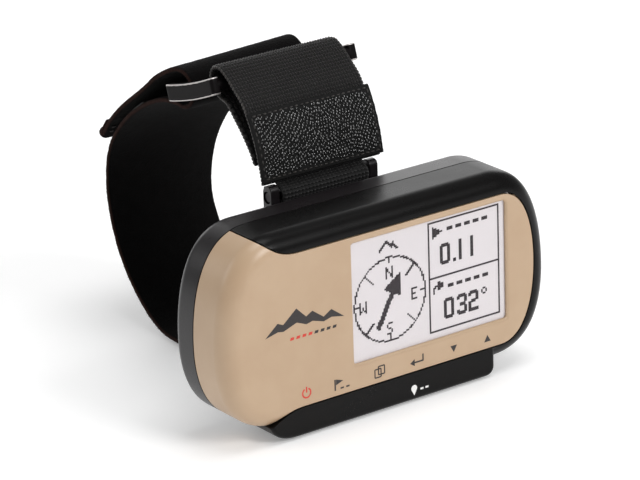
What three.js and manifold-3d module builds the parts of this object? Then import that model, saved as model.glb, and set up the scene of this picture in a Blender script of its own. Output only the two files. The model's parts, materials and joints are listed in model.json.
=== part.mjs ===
// Wrist-worn GPS receiver: a two-part case with a display, six keys along its foot, two AAA cells
// behind a screwed door, and a webbing wrist strap closed through a metal ring.
// Millimetres. X runs to the right of the display, Y from the face to the back, Z up.
// The origin lies on the underside of the key bar, which the unit stands on.
import * as THREE from "three";
import { mergeVertices } from "three/addons/utils/BufferGeometryUtils.js";
import Module from "manifold-3d";

const wasm = await Module();
wasm.setup();

// ---- Case ----
const halfWidth = 41.4;
const caseHeight = 40.8;
const footHeight = 3; // how far the key bar stands below the case
const caseBottom = footHeight;
const caseTop = caseBottom + caseHeight;
const midZ = (caseTop + caseBottom) / 2;
const widestZ = midZ - 2.4;
const cornerRun = 13.8; // how far each rounded corner reaches in from the side
const upperPull = 10.8; // handle lengths of the corner curves
const lowerPull = 9.9;
const faceY = -4;
const seamY = 6.9; // where the two halves meet
const rimDepth = 7.2;
const rimBackY = seamY + rimDepth;
const wall = 1.6;
const frontRound = 4;
const rearRound = 2.6;
const gap = 0.3; // between two fixed pieces that meet

// ---- Pale panel inside the dark bumper ----
const panelTop = midZ + 16.1;
const panelBottom = midZ - 17.1;
const panelRight = halfWidth - 4.1;
const panelEntry = -halfWidth + 8.2; // where the panel's edges reach the case's outline

// ---- Display ----
const windowWidth = 39.6;
const windowHeight = 26.1;
const windowMargin = 7.2; // from the panel's right edge to the window
const windowX = panelRight - windowMargin - windowWidth / 2;
const windowZ = midZ + 1.4;
const windowRound = 0.6;
const lensGap = 0.1;
const lensThickness = 0.6;
const lensRecess = 0.1;
const displayLap = 1.4; // how far the display reaches behind the window's edge
const displayThickness = 1.6;
const displayY = faceY + 0.95;
const guideY = displayY + displayThickness + gap;
const guideThickness = 0.9;
const guideLap = 0.4;
const trayFloor = 0.9;
const trayWall = 1.1;

// ---- Key bar and keys ----
const barLeft = -halfWidth + 17.4;
const barRight = halfWidth - 14.8;
const barRound = 2;
const barEdge = 0.9;
const barTop = panelBottom - gap / 2;
const keyNames = ["key_power", "key_goto", "key_page", "key_enter", "key_down", "key_up"];
const keyMarginLeft = 2; // from the bar's two ends to the middles of the outer keys
const keyMarginRight = 4.6;
const keyFirstX = barLeft + keyMarginLeft;
const keyPitch = (barRight - keyMarginRight - keyFirstX) / (keyNames.length - 1);
const keyWidth = 6.2;
const keyDepth = 4.4;
const keyY = 0.3;
const keyRecess = 0.35;
const keyRound = 1.2;
const keyClearance = 0.15;
const keyTravel = 0.6;
const flangeReach = 0.6;
const flangeThickness = 0.7;
const galleryFloor = caseBottom + wall;
const flangeZ = galleryFloor + gap;
const domeHeight = 0.35;
const domeRadius = 1.7;
const domeGap = 0.1;
const stripThickness = 0.8;

// ---- Boards ----
const boardThickness = 1;
const boardY = 2.7;
const boardInset = wall + 1.8;
const antennaSide = 20;
const antennaThickness = 4;
const antennaGap = 1.9;
const antennaX = windowX - windowWidth / 2 - displayLap - antennaGap - antennaSide / 2;
const shieldX = windowX - 0.3;
const shieldWidth = 26;
const shieldHeight = 18;
const shieldThickness = 2.35;

// ---- Cells, bay and door ----
const cellDiameter = 10.5;
const cellLength = 43.5;
const nibLength = 1;
const nibRadius = 1.9;
const cellGap = 0.4;
const contactThickness = 0.4;
const contactHalfDepth = 4;
const springLength = 2;
const bayFloor = 1.2;
const bayRound = 2.5;
const bayHalfLength = (cellLength + nibLength) / 2 + springLength + contactThickness + 2 * gap;
const bayHalfHeight = cellDiameter + 1.5 * cellGap;
const bayFloorY = boardY + boardThickness + gap + shieldThickness + gap + bayFloor;
const cellY = bayFloorY + gap + cellDiameter / 2;
const bayRimY = cellY + cellDiameter / 2 + 0.2;
const doorThickness = 1.5;
const doorRound = 1;
const doorFrontY = bayRimY + gap;
const backY = doorFrontY + doorThickness;
const bulgeHalfLength = bayHalfLength + wall;
const bulgeHalfHeight = bayHalfHeight + wall;
const bulgeRound = 4;
const doorScrewShank = 1.3;
const doorScrewHead = 2.6;
const doorScrewLength = 7;
const doorScrewX = bulgeHalfLength + 1.6;
const screwBossRadius = 4;
const slotWidth = 0.9;
const headDepth = 0.8;

// ---- Case screws ----
const caseScrewX = halfWidth - 7.5;
const caseScrewZ = 12.8;
const caseScrewShank = 1;
const caseScrewHead = 1.8;
const screwClearance = 0.3;
const screwHeadDepth = 1;
const screwHeadSink = 0.5; // how far the heads lie below the rear face
const postRadius = 2.3;

// ---- Seals ----
const sealWidth = 0.6;
const sealDepth = 1;
const sealSlack = 0.12;

// ---- Strap lugs and pins ----
const pinRadius = 1;
const pinY = backY - 1.5;
const pinInset = 1.3; // how far inside the case's top and bottom the pins lie
const tabWidth = 22.3;
const tabThickness = 1;
const tabSlack = 0.25;
const rollRadius = pinRadius + tabSlack + tabThickness;
const lugThickness = 2.2;
const lugDepth = 3;
const lugReach = 1.2; // how far the lugs stand past the case's top and bottom
const lugInner = tabWidth / 2 + gap;
const pinHalfLength = lugInner + lugThickness - gap;

// ---- Wrist strap ----
const webbingWidth = 30.6;
const webbingThickness = 1;
const patchWidth = 30.8;
const patchThickness = 0.6;
const patchGap = 0.12;
const strapWidth = 30;
const strapThickness = 1.2;
const hookWidth = 27;
const hookThickness = 0.8;
const hookGap = 0.2;
const ringBar = 2.4; // section of the two cross bars
const ringSideWidth = 2.2;
const ringSideHeight = 3.6;
const ringSpan = 15.6; // between the axes of the cross bars
const ringPitch = THREE.MathUtils.degToRad(-17.9);
const ringSlack = 1;
const ringInner = Math.max(webbingWidth, strapWidth) / 2 + ringSlack;

// ---- Materials ----
const finish = (color, roughness, metalness = 0) =>
  new THREE.MeshStandardMaterial({ color, roughness, metalness });
const palePlastic = finish(0xc8ac8c, 0.5);
const darkRubber = finish(0x202022, 0.45);
const darkPlastic = finish(0x4b464b, 0.4);
const keyRubber = finish(0x2a2a2c, 0.7);
const clearPlastic = finish(0xf2f4f4, 0.05);
const displayGlass = finish(0xe6e1e4, 0.25);
const whitePlastic = finish(0xececea, 0.5);
const circuitBoard = finish(0x1f5a35, 0.45);
const ceramic = finish(0xb9a27a, 0.6);
const tinPlate = finish(0xc4c6c8, 0.3, 1);
const steel = finish(0xb4b6ba, 0.3, 1);
const blackMetal = finish(0x3a3a3e, 0.25, 1);
const sealRubber = finish(0x77402c, 0.7);
const cellWrap = finish(0x2b3c58, 0.35);
const webbingCloth = finish(0x131214, 0.9);
const patchHide = finish(0x1a1a1b, 0.5);

const root = new THREE.Group();

// ---- Solids ----
function toSolid(geometry) {
  const plain = geometry.clone();
  plain.deleteAttribute("normal");
  plain.deleteAttribute("uv");
  const merged = mergeVertices(plain, 1e-4);
  return new wasm.Manifold(
    new wasm.Mesh({
      numProp: 3,
      vertProperties: merged.attributes.position.array,
      triVerts: new Uint32Array(merged.index.array),
    }),
  );
}

function toGeometry(solid) {
  const mesh = solid.getMesh();
  return new THREE.BufferGeometry()
    .setAttribute("position", new THREE.BufferAttribute(mesh.vertProperties, 3))
    .setIndex(new THREE.BufferAttribute(mesh.triVerts, 1));
}

function addNode(name, shape, material) {
  const geometry = shape.isBufferGeometry ? shape : toGeometry(shape);
  geometry.computeVertexNormals();
  const mesh = new THREE.Mesh(geometry, material);
  mesh.name = name;
  root.add(mesh);
  return mesh;
}

// A shape drawn in X and Z, given a thickness from yFront to yBack. round softens both of its rims.
function slab(shape, yFront, yBack, round = 0, curveSegments = 6, roundSegments = 3) {
  const geometry = new THREE.ExtrudeGeometry(shape, {
    depth: yBack - yFront - 2 * round,
    bevelEnabled: round > 0,
    bevelThickness: round,
    bevelSize: round,
    bevelOffset: -round,
    bevelSegments: roundSegments,
    curveSegments,
  });
  geometry.rotateX(Math.PI / 2);
  geometry.translate(0, yBack - round, 0);
  return toSolid(geometry);
}

// A shape drawn in Y and Z, given a width across X about x = 0.
function rib(shape, width, xCentre = 0, curveSegments = 7) {
  const geometry = new THREE.ExtrudeGeometry(shape, { depth: width, bevelEnabled: false, curveSegments });
  geometry.rotateX(Math.PI / 2);
  geometry.rotateZ(Math.PI / 2);
  geometry.translate(xCentre - width / 2, 0, 0);
  return toSolid(geometry);
}

function block(x0, x1, y0, y1, z0, z1) {
  const geometry = new THREE.BoxGeometry(x1 - x0, y1 - y0, z1 - z0);
  geometry.translate((x0 + x1) / 2, (y0 + y1) / 2, (z0 + z1) / 2);
  return toSolid(geometry);
}

// A round bar along Y.
function rod(radius, x, z, y0, y1, sides = 14) {
  const geometry = new THREE.CylinderGeometry(radius, radius, y1 - y0, sides);
  geometry.translate(x, (y0 + y1) / 2, z);
  return toSolid(geometry);
}

// A round bar along X.
function axle(radius, y, z, x0, x1, sides = 14) {
  const geometry = new THREE.CylinderGeometry(radius, radius, x1 - x0, sides);
  geometry.rotateZ(Math.PI / 2);
  geometry.translate((x0 + x1) / 2, y, z);
  return toSolid(geometry);
}

function roundedRectangle(xCentre, zCentre, halfX, halfZ, radius) {
  const shape = new THREE.Shape();
  shape.absarc(xCentre + halfX - radius, zCentre - halfZ + radius, radius, -Math.PI / 2, 0);
  shape.absarc(xCentre + halfX - radius, zCentre + halfZ - radius, radius, 0, Math.PI / 2);
  shape.absarc(xCentre - halfX + radius, zCentre + halfZ - radius, radius, Math.PI / 2, Math.PI);
  shape.absarc(xCentre - halfX + radius, zCentre - halfZ + radius, radius, Math.PI, 1.5 * Math.PI);
  shape.closePath();
  return shape;
}

const unite = (solids) => solids.reduce((all, one) => all.add(one));

// ---- Outlines in X and Z ----
// The case's outline: straight at top and bottom, egg-shaped at the sides.
function caseShape(inset = 0) {
  const side = halfWidth - inset;
  const top = caseTop - inset;
  const bottom = caseBottom + inset;
  const shoulder = halfWidth - cornerRun;
  const share = (cornerRun - inset) / cornerRun;
  const up = upperPull * share;
  const down = lowerPull * share;
  const shape = new THREE.Shape();
  shape.moveTo(-shoulder, bottom);
  shape.lineTo(shoulder, bottom);
  shape.bezierCurveTo(shoulder + down, bottom, side, widestZ - down, side, widestZ);
  shape.bezierCurveTo(side, widestZ + up, shoulder + up, top, shoulder, top);
  shape.lineTo(-shoulder, top);
  shape.bezierCurveTo(-shoulder - up, top, -side, widestZ + up, -side, widestZ);
  shape.bezierCurveTo(-side, widestZ - down, -shoulder - down, bottom, -shoulder, bottom);
  return shape;
}

// The pale panel's outline: open to the left, with the bumper round its other three sides.
function panelShape(grow) {
  const left = -halfWidth - 10;
  const top = panelTop + grow;
  const bottom = panelBottom - grow;
  const right = panelRight + grow;
  const shape = new THREE.Shape();
  shape.moveTo(left, caseBottom - 2 - grow);
  shape.lineTo(panelEntry, caseBottom - 0.4 - grow);
  shape.bezierCurveTo(panelEntry + 4.2, bottom - 2.1, panelEntry + 6.2, bottom, panelEntry + 10.7, bottom);
  shape.lineTo(right - 8.8, bottom);
  shape.bezierCurveTo(right - 3.3, bottom, right, midZ - 9.9, right, midZ - 0.2);
  shape.bezierCurveTo(right, midZ + 9.6, right - 3.1, top, right - 8.3, top);
  shape.lineTo(panelEntry + 10.7, top);
  shape.bezierCurveTo(panelEntry + 4.7, top, panelEntry + 3.7, top + 3, panelEntry, caseTop + 0.4 + grow);
  shape.lineTo(left, caseTop + 2 + grow);
  shape.closePath();
  return shape;
}

// The key bar's outline, with a sweeping left end and a rounded right foot. It runs up behind the
// panel, which is cut from it.
function barShape() {
  const shape = new THREE.Shape();
  shape.moveTo(barLeft - 7.5, barTop + 3);
  shape.bezierCurveTo(barLeft - 7.5, 2, barLeft - 5.2, 0, barLeft, 0);
  shape.lineTo(barRight - barRound, 0);
  shape.absarc(barRight - barRound, barRound, barRound, -Math.PI / 2, 0);
  shape.lineTo(barRight, barTop + 3);
  shape.closePath();
  return shape;
}

const keyX = keyNames.map((name, i) => keyFirstX + i * keyPitch);
const screwPlaces = [
  [-caseScrewX, midZ + caseScrewZ],
  [caseScrewX, midZ + caseScrewZ],
  [-caseScrewX, midZ - caseScrewZ],
  [caseScrewX, midZ - caseScrewZ],
];
const atScrews = (radius, y0, y1) => unite(screwPlaces.map(([x, z]) => rod(radius, x, z, y0, y1)));

// ---- Front half ----
const behindSeam = block(-halfWidth - 20, halfWidth + 20, seamY - gap / 2, backY + 40, -10, caseTop + 20);
const frontOuter = slab(caseShape(), faceY, rimBackY + 20, frontRound, 11, 5).subtract(behindSeam);
const frontCavity = slab(caseShape(wall), faceY + wall, rimBackY + 30, frontRound - wall, 11, 3);
const frontShell = frontOuter.subtract(frontCavity);
const window = slab(
  roundedRectangle(windowX, windowZ, windowWidth / 2, windowHeight / 2, 0.7), faceY - 1, faceY + 3);
const displayPocket = slab(
  roundedRectangle(
    windowX, windowZ, windowWidth / 2 + displayLap + 0.2, windowHeight / 2 + displayLap + 0.2, 0.9),
  displayY - 0.1, faceY + 4);

// The room above the key bar's floor, where the keys' flanges travel.
function keyGallery() {
  const reachX = keyWidth / 2 + flangeReach + gap;
  const reachY = keyDepth / 2 + flangeReach + gap;
  return block(
    keyX[0] - reachX, keyX.at(-1) + reachX, keyY - reachY, keyY + reachY, galleryFloor, galleryFloor + 4);
}

function frontCase() {
  const panel = slab(panelShape(-gap / 2), faceY - 5, seamY + 5, 0, 10);
  const posts = atScrews(postRadius, faceY + wall - 0.4, seamY - gap / 2);
  const pilots = atScrews(caseScrewShank + screwClearance, faceY + wall + 0.4, seamY + 1);
  return frontShell.intersect(panel).add(posts).subtract(pilots).subtract(window).subtract(displayPocket)
    .subtract(keyGallery());
}

function bumper() {
  const panel = slab(panelShape(gap / 2), faceY - 5, seamY + 5, 0, 10);
  const bar = slab(barShape(), faceY, seamY + 5, barEdge, 8, 3).subtract(behindSeam).subtract(frontCavity);
  const keyHoles = unite(keyX.map((x) => keyBlock(x, keyClearance, -1, galleryFloor + 1)));
  return frontShell.subtract(panel).add(bar.subtract(panel)).subtract(keyGallery()).subtract(keyHoles)
    .subtract(displayPocket).subtract(atScrews(postRadius + gap, faceY + wall - 0.8, seamY + 1));
}

// A key's upright block with rounded corners, grown by a clearance.
function keyBlock(x, grow, z0, z1) {
  const shape = roundedRectangle(0, 0, keyWidth / 2 + grow, keyDepth / 2 + grow, keyRound + grow);
  const settings = { depth: z1 - z0, bevelEnabled: false, curveSegments: 4 };
  const geometry = new THREE.ExtrudeGeometry(shape, settings);
  geometry.translate(x, keyY, z0);
  return toSolid(geometry);
}

function keyCap(x) {
  const reach = flangeReach;
  const flange = block(
    x - keyWidth / 2 - reach, x + keyWidth / 2 + reach,
    keyY - keyDepth / 2 - reach, keyY + keyDepth / 2 + reach, flangeZ, flangeZ + flangeThickness);
  return keyBlock(x, 0, keyRecess, flangeZ + 0.2).add(flange);
}

// Strip that carries one snap dome over each key.
function switchStrip() {
  const domeZ = flangeZ + flangeThickness + keyTravel + domeGap;
  const stripZ = domeZ + domeHeight;
  const reachY = keyDepth / 2 - 0.2;
  const strip = block(
    keyX[0] - keyWidth / 2, keyX.at(-1) + keyWidth / 2, keyY - reachY, keyY + reachY,
    stripZ, stripZ + stripThickness);
  const domes = keyX.map((x) => {
    const geometry = new THREE.CylinderGeometry(domeRadius, 0.65 * domeRadius, domeHeight + 0.1, 10);
    geometry.rotateX(Math.PI / 2);
    geometry.translate(x, keyY, domeZ + (domeHeight + 0.1) / 2);
    return toSolid(geometry);
  });
  return unite([strip, ...domes]);
}

addNode("front_case", frontCase(), palePlastic);
addNode("bumper", bumper(), darkRubber);
keyNames.forEach((name, i) => addNode(name, keyCap(keyX[i]), keyRubber));
addNode("switch_strip", switchStrip(), circuitBoard);

// ---- Display ----
function windowPlate(grow, yFront, yBack) {
  const halfX = windowWidth / 2 + grow;
  const halfZ = windowHeight / 2 + grow;
  return slab(roundedRectangle(windowX, windowZ, halfX, halfZ, windowRound), yFront, yBack, 0, 4);
}

function displayTray() {
  const front = guideY - 0.1;
  const back = guideY + guideThickness + gap + trayFloor;
  const tray = windowPlate(guideLap + trayWall, front, back);
  return tray.subtract(windowPlate(guideLap + gap, front - 1, back - trayFloor));
}

const lensY = faceY + lensRecess;
addNode("window_lens", windowPlate(-lensGap, lensY, lensY + lensThickness), clearPlastic);
addNode("lcd_panel", windowPlate(displayLap, displayY, displayY + displayThickness), displayGlass);
addNode("light_guide", windowPlate(guideLap, guideY, guideY + guideThickness), whitePlastic);
addNode("display_tray", displayTray(), whitePlastic);

// ---- Boards ----
function mainBoard() {
  const outline = slab(caseShape(boardInset), boardY, boardY + boardThickness, 0, 6);
  return outline.subtract(atScrews(postRadius + gap, boardY - 1, boardY + boardThickness + 1));
}

function patchAntenna() {
  const half = antennaSide / 2;
  const front = boardY - gap - antennaThickness;
  return slab(roundedRectangle(antennaX, midZ, half, half, 1), front, boardY - gap, 0, 3);
}

function shieldCan() {
  const front = boardY + boardThickness + gap;
  const outline = roundedRectangle(shieldX, midZ, shieldWidth / 2, shieldHeight / 2, 0.8);
  return slab(outline, front, front + shieldThickness, 0, 3);
}

addNode("main_board", mainBoard(), circuitBoard);
addNode("patch_antenna", patchAntenna(), ceramic);
addNode("shield_can", shieldCan(), tinPlate);

// ---- Rear half ----
const upperPinZ = caseTop - pinInset;
const lowerPinZ = caseBottom + pinInset;

// The bulge's outline: a rounded box with a round ear on the right for the door's screw.
function bulge(grow, y0, y1, round = 0) {
  const box = roundedRectangle(0, midZ, bulgeHalfLength + grow, bulgeHalfHeight + grow, bulgeRound + grow);
  const reach = screwBossRadius + grow;
  const earX = doorScrewX - screwBossRadius;
  const ear = roundedRectangle(earX, midZ, reach + screwBossRadius, reach, 0.85 * reach);
  return slab(box, y0, y1, round, 4, 2).add(slab(ear, y0, y1, round, 6, 2));
}

function bay(grow, y0, y1) {
  const outline = roundedRectangle(0, midZ, bayHalfLength + grow, bayHalfHeight + grow, bayRound + grow);
  return slab(outline, y0, y1, 0, 4);
}

// One lug's side profile, drawn upwards from the pin. It is mirrored for the lower pair.
function lugShape(pinZ, sign) {
  const front = pinY - lugDepth / 2;
  const tip = pinZ + sign * (pinInset + lugReach);
  const shape = new THREE.Shape();
  const outline = [
    [rimBackY - 1.2, pinZ - sign * 6],
    [pinY + lugDepth / 2, pinZ - sign * 4],
    [pinY + lugDepth / 2, tip - sign * 0.8],
    [pinY + lugDepth / 2 - 0.8, tip],
    [front + 0.8, tip],
    [front, tip - sign * 0.8],
    [front, pinZ - sign * 2.6],
    [rimBackY - 1.2, pinZ - sign * 0.4],
  ];
  (sign > 0 ? outline : outline.reverse()).forEach(([y, z], i) =>
    i ? shape.lineTo(y, z) : shape.moveTo(y, z));
  shape.closePath();
  return shape;
}

function lugs() {
  const middle = lugInner + lugThickness / 2;
  return [[upperPinZ, 1], [lowerPinZ, -1]].flatMap(([pinZ, sign]) =>
    [-middle, middle].map((x) => rib(lugShape(pinZ, sign), lugThickness, x)));
}

function rearCase() {
  const beforeSeam = block(
    -halfWidth - 20, halfWidth + 20, -60, seamY + gap / 2, -10, caseTop + 20);
  const outer = slab(caseShape(), rimBackY - 40, rimBackY, rearRound, 11, 4).subtract(beforeSeam);
  const cavity = slab(caseShape(wall), rimBackY - 40, rimBackY - wall, rearRound - wall, 9, 2);
  const shell = outer.subtract(cavity);
  const box = bulge(0, bayFloorY - bayFloor, bayRimY);
  const bosses = atScrews(postRadius, seamY + gap / 2, rimBackY - wall + 0.4);
  const screwHoles = atScrews(caseScrewShank + screwClearance, seamY - 1, rimBackY + 1);
  const seatY = rimBackY - screwHeadSink - screwHeadDepth - 0.2;
  const headSeats = atScrews(caseScrewHead + screwClearance, seatY, rimBackY + 1);
  const holeRadius = doorScrewShank + screwClearance;
  const doorHole = rod(holeRadius, doorScrewX, midZ, doorFrontY - doorScrewLength, backY);
  const pinHoleEnd = pinHalfLength + gap;
  const pinHoles = [upperPinZ, lowerPinZ].map((z) => axle(pinRadius + gap, pinY, z, -pinHoleEnd, pinHoleEnd));
  return unite([shell, box, bosses, ...lugs()])
    .subtract(bay(0, bayFloorY, backY))
    .subtract(screwHoles)
    .subtract(headSeats)
    .subtract(doorHole)
    .subtract(unite(pinHoles))
    .subtract(sealRing(sealSlack, seamY - 1, seamY + gap / 2 + sealDepth + sealSlack))
    .subtract(doorSealRing(sealSlack, bayRimY - sealDepth + 0.1, backY));
}

// Ring of sealing cord that follows the case's wall.
function sealRing(slack, y0, y1) {
  const inset = (wall - sealWidth) / 2;
  const outer = slab(caseShape(inset - slack), y0, y1, 0, 8);
  return outer.subtract(slab(caseShape(inset + sealWidth + slack), y0 - 1, y1 + 1, 0, 8));
}

function doorSealRing(slack, y0, y1) {
  const inset = (wall - sealWidth) / 2;
  return bay(inset + sealWidth + slack, y0, y1).subtract(bay(inset - slack, y0 - 1, y1 + 1));
}

addNode("rear_case", rearCase(), darkPlastic);
addNode("case_seal", sealRing(0, seamY + gap / 2, seamY + gap / 2 + sealDepth), sealRubber);
addNode("door_seal", doorSealRing(0, bayRimY - sealDepth + 0.25, bayRimY + 0.15), sealRubber);

function caseScrewSolid(x, z) {
  const headY = rimBackY - screwHeadSink;
  const shank = rod(caseScrewShank, x, z, faceY + wall + 0.8, headY - 0.5, 12);
  const head = rod(caseScrewHead, x, z, headY - screwHeadDepth, headY, 14);
  const half = 0.25;
  const long = 1.2;
  const cross = block(x - long, x + long, headY - 0.6, headY + 1, z - half, z + half)
    .add(block(x - half, x + half, headY - 0.6, headY + 1, z - long, z + long));
  return shank.add(head).subtract(cross);
}

screwPlaces.forEach(([x, z], i) => addNode(`case_screw_${i + 1}`, caseScrewSolid(x, z), steel));

// ---- Battery door and its screw ----
function batteryDoor() {
  const plate = bulge(0, doorFrontY - 4, backY, doorRound)
    .subtract(block(-halfWidth - 9, halfWidth + 9, doorFrontY - 9, doorFrontY, -9, caseTop + 9));
  const hole = rod(doorScrewShank + screwClearance, doorScrewX, midZ, doorFrontY - 1, backY + 1);
  const seat = rod(doorScrewHead + 0.2, doorScrewX, midZ, backY - headDepth - 0.1, backY + 1);
  return plate.subtract(hole).subtract(seat);
}

function doorScrewSolid() {
  const headBack = backY - 0.1;
  const shank = rod(doorScrewShank, doorScrewX, midZ, doorFrontY - doorScrewLength + 1, headBack - 0.3, 14);
  const head = rod(doorScrewHead, doorScrewX, midZ, headBack - headDepth + 0.15, headBack, 18);
  const slot = block(
    doorScrewX - 4, doorScrewX + 4, headBack - 0.4, headBack + 1, midZ - slotWidth / 2, midZ + slotWidth / 2);
  return shank.add(head).subtract(slot);
}

addNode("battery_door", batteryDoor(), darkPlastic);
addNode("door_screw", doorScrewSolid(), steel);

// ---- Cells and contacts ----
const cellPlaces = [midZ + (cellDiameter + cellGap) / 2, midZ - (cellDiameter + cellGap) / 2];

// A cell lies along X; direction says which way its positive nib points.
function cellSolid(z, direction) {
  const shift = (-direction * nibLength) / 2;
  const can = axle(cellDiameter / 2, cellY, z, shift - cellLength / 2, shift + cellLength / 2, 20);
  const end = shift + (direction * cellLength) / 2;
  const tip = end + direction * nibLength;
  const sunk = end - direction * 0.1;
  const nib = axle(nibRadius, cellY, z, Math.min(sunk, tip), Math.max(sunk, tip), 12);
  return can.add(nib);
}

// A contact plate at one end of the bay: a spring at one cell and a button at the other.
function contactSolid(side) {
  const outer = side * (bayHalfLength - gap);
  const inner = side * (bayHalfLength - gap - contactThickness);
  const plate = block(
    Math.min(outer, inner), Math.max(outer, inner), cellY - contactHalfDepth, cellY + contactHalfDepth,
    midZ - cellDiameter + 1, midZ + cellDiameter - 1);
  const bumps = cellPlaces.map((z, i) => {
    const sprung = (i === 0) === side < 0;
    const reach = sprung ? springLength : springLength - nibLength + 0.6;
    const geometry = new THREE.CylinderGeometry(sprung ? 1.6 : 1, sprung ? 3 : 2.2, reach, 12);
    geometry.rotateZ((side * Math.PI) / 2);
    geometry.translate(inner - (side * (reach - 0.1)) / 2, cellY, z);
    return toSolid(geometry);
  });
  return unite([plate, ...bumps]);
}

addNode("cell_upper", cellSolid(cellPlaces[0], 1), cellWrap);
addNode("cell_lower", cellSolid(cellPlaces[1], -1), cellWrap);
addNode("contact_left", contactSolid(-1), tinPlate);
addNode("contact_right", contactSolid(1), tinPlate);

// ---- Strap pins and the webbing tabs rolled round them ----
// A tab's side profile: a roll round the pin that closes into a flat tail ending at [tailY, tailZ].
function tabShape(pinZ, tailY, tailZ) {
  const angle = Math.atan2(tailZ - pinZ, tailY - pinY);
  const opening = THREE.MathUtils.degToRad(55);
  const length = Math.hypot(tailZ - pinZ, tailY - pinY);
  const neck = rollRadius + 0.6;
  const at = (along, aside) => [
    pinY + Math.cos(angle) * along - Math.sin(angle) * aside,
    pinZ + Math.sin(angle) * along + Math.cos(angle) * aside,
  ];
  const shape = new THREE.Shape();
  shape.absarc(pinY, pinZ, rollRadius, angle + opening, angle - opening + 2 * Math.PI, false);
  shape.lineTo(...at(neck, -tabThickness / 2));
  shape.lineTo(...at(length, -tabThickness / 2));
  shape.lineTo(...at(length, tabThickness / 2));
  shape.lineTo(...at(neck, tabThickness / 2));
  shape.closePath();
  const hole = new THREE.Path();
  hole.absarc(pinY, pinZ, pinRadius + tabSlack, 0, 2 * Math.PI, true);
  shape.holes.push(hole);
  return shape;
}

// The straps keep their place on the lugs when the case grows. The upper pieces move with the upper
// pin, and the long strap stretches upwards between the floor and the ring.
const strapPinZ = 42.5; // where the straps' points below have the upper pin
const strapPinY = 19.15;
const ringZ = 55;
const upperShift = upperPinZ - strapPinZ;
const backShift = pinY - strapPinY;
const place = ([y, z]) => [y + backShift, z + upperShift];
const stretch = ([y, z]) => [y + backShift, z + upperShift * Math.min(1, z / ringZ)];

addNode("strap_pin_upper", axle(pinRadius, pinY, upperPinZ, -pinHalfLength, pinHalfLength), steel);
addNode("strap_pin_lower", axle(pinRadius, pinY, lowerPinZ, -pinHalfLength, pinHalfLength), steel);
addNode("upper_tab", rib(tabShape(upperPinZ, ...place([21.0, 48.2])), tabWidth), webbingCloth);
addNode("lower_tab", rib(tabShape(lowerPinZ, pinY + 14, 2.2), tabWidth), webbingCloth);

// ---- Bent strips ----
// A curve through [y, z] points at one X.
const edgeCurve = (points, x) =>
  new THREE.CatmullRomCurve3(points.map(([y, z]) => new THREE.Vector3(x, y, z)), false, "centripetal");

// A flat strip bent along two edges, which lie width apart and hold the middle of its thickness. from
// and to say which stretch of the edges it covers, cover how wide it is, and offset moves it off them,
// towards their outer side if negative.
function bentStrip(left, right, width, thickness, steps, options = {}) {
  const { from = 0, to = 1, offset = 0, cover = width } = options;
  const leftCurve = edgeCurve(left, -width / 2);
  const rightCurve = edgeCurve(right, width / 2);
  const geometry = new THREE.BoxGeometry(1, 1, 1, 2, 1, steps);
  const positions = geometry.attributes.position;
  for (let i = 0; i < positions.count; i++) {
    const along = from + (positions.getZ(i) + 0.5) * (to - from);
    const across = (positions.getX(i) * cover) / width + 0.5;
    const start = leftCurve.getPoint(along);
    const end = rightCurve.getPoint(along);
    const side = end.clone().sub(start).normalize();
    const tangent = leftCurve.getTangent(along).lerp(rightCurve.getTangent(along), across);
    const normal = tangent.cross(side).normalize();
    const point = start.lerp(end, across).addScaledVector(normal, positions.getY(i) * thickness + offset);
    positions.setXYZ(i, point.x, point.y, point.z);
  }
  return toSolid(geometry);
}

// Upper strap: a webbing loop through the ring, its two runs closing on the tab. From front to back.
const shortStrapLine = [
  [18.8, 45.4], [19.7, 49.5], [21.2, 54.5], [23.3, 58.8], [25.2, 61.6], [27.7, 63.7],
  [30.6, 66.0], [33.1, 67.2], [35.2, 66.6], [36.0, 64.6], [35.1, 62.4], [33.0, 61.0],
  [30.5, 60.2], [28.1, 57.8], [25.5, 55.1], [22.6, 51.4], [21.3, 49.0],
].map(place);

const shortStrap = bentStrip(shortStrapLine, shortStrapLine, webbingWidth, webbingThickness, 36);
addNode("short_strap", shortStrap, webbingCloth);

// The patch lies on the front run, and the lower end of its edge stays bare.
addNode(
  "strap_patch",
  bentStrip(shortStrapLine, shortStrapLine, patchWidth, patchThickness, 10, {
    from: 0.005, to: 0.19, offset: -(webbingThickness + patchThickness) / 2 - patchGap,
  }),
  patchHide,
);

// ---- Ring ----
const ringFront = place([32.4, 63.9]);

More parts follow.
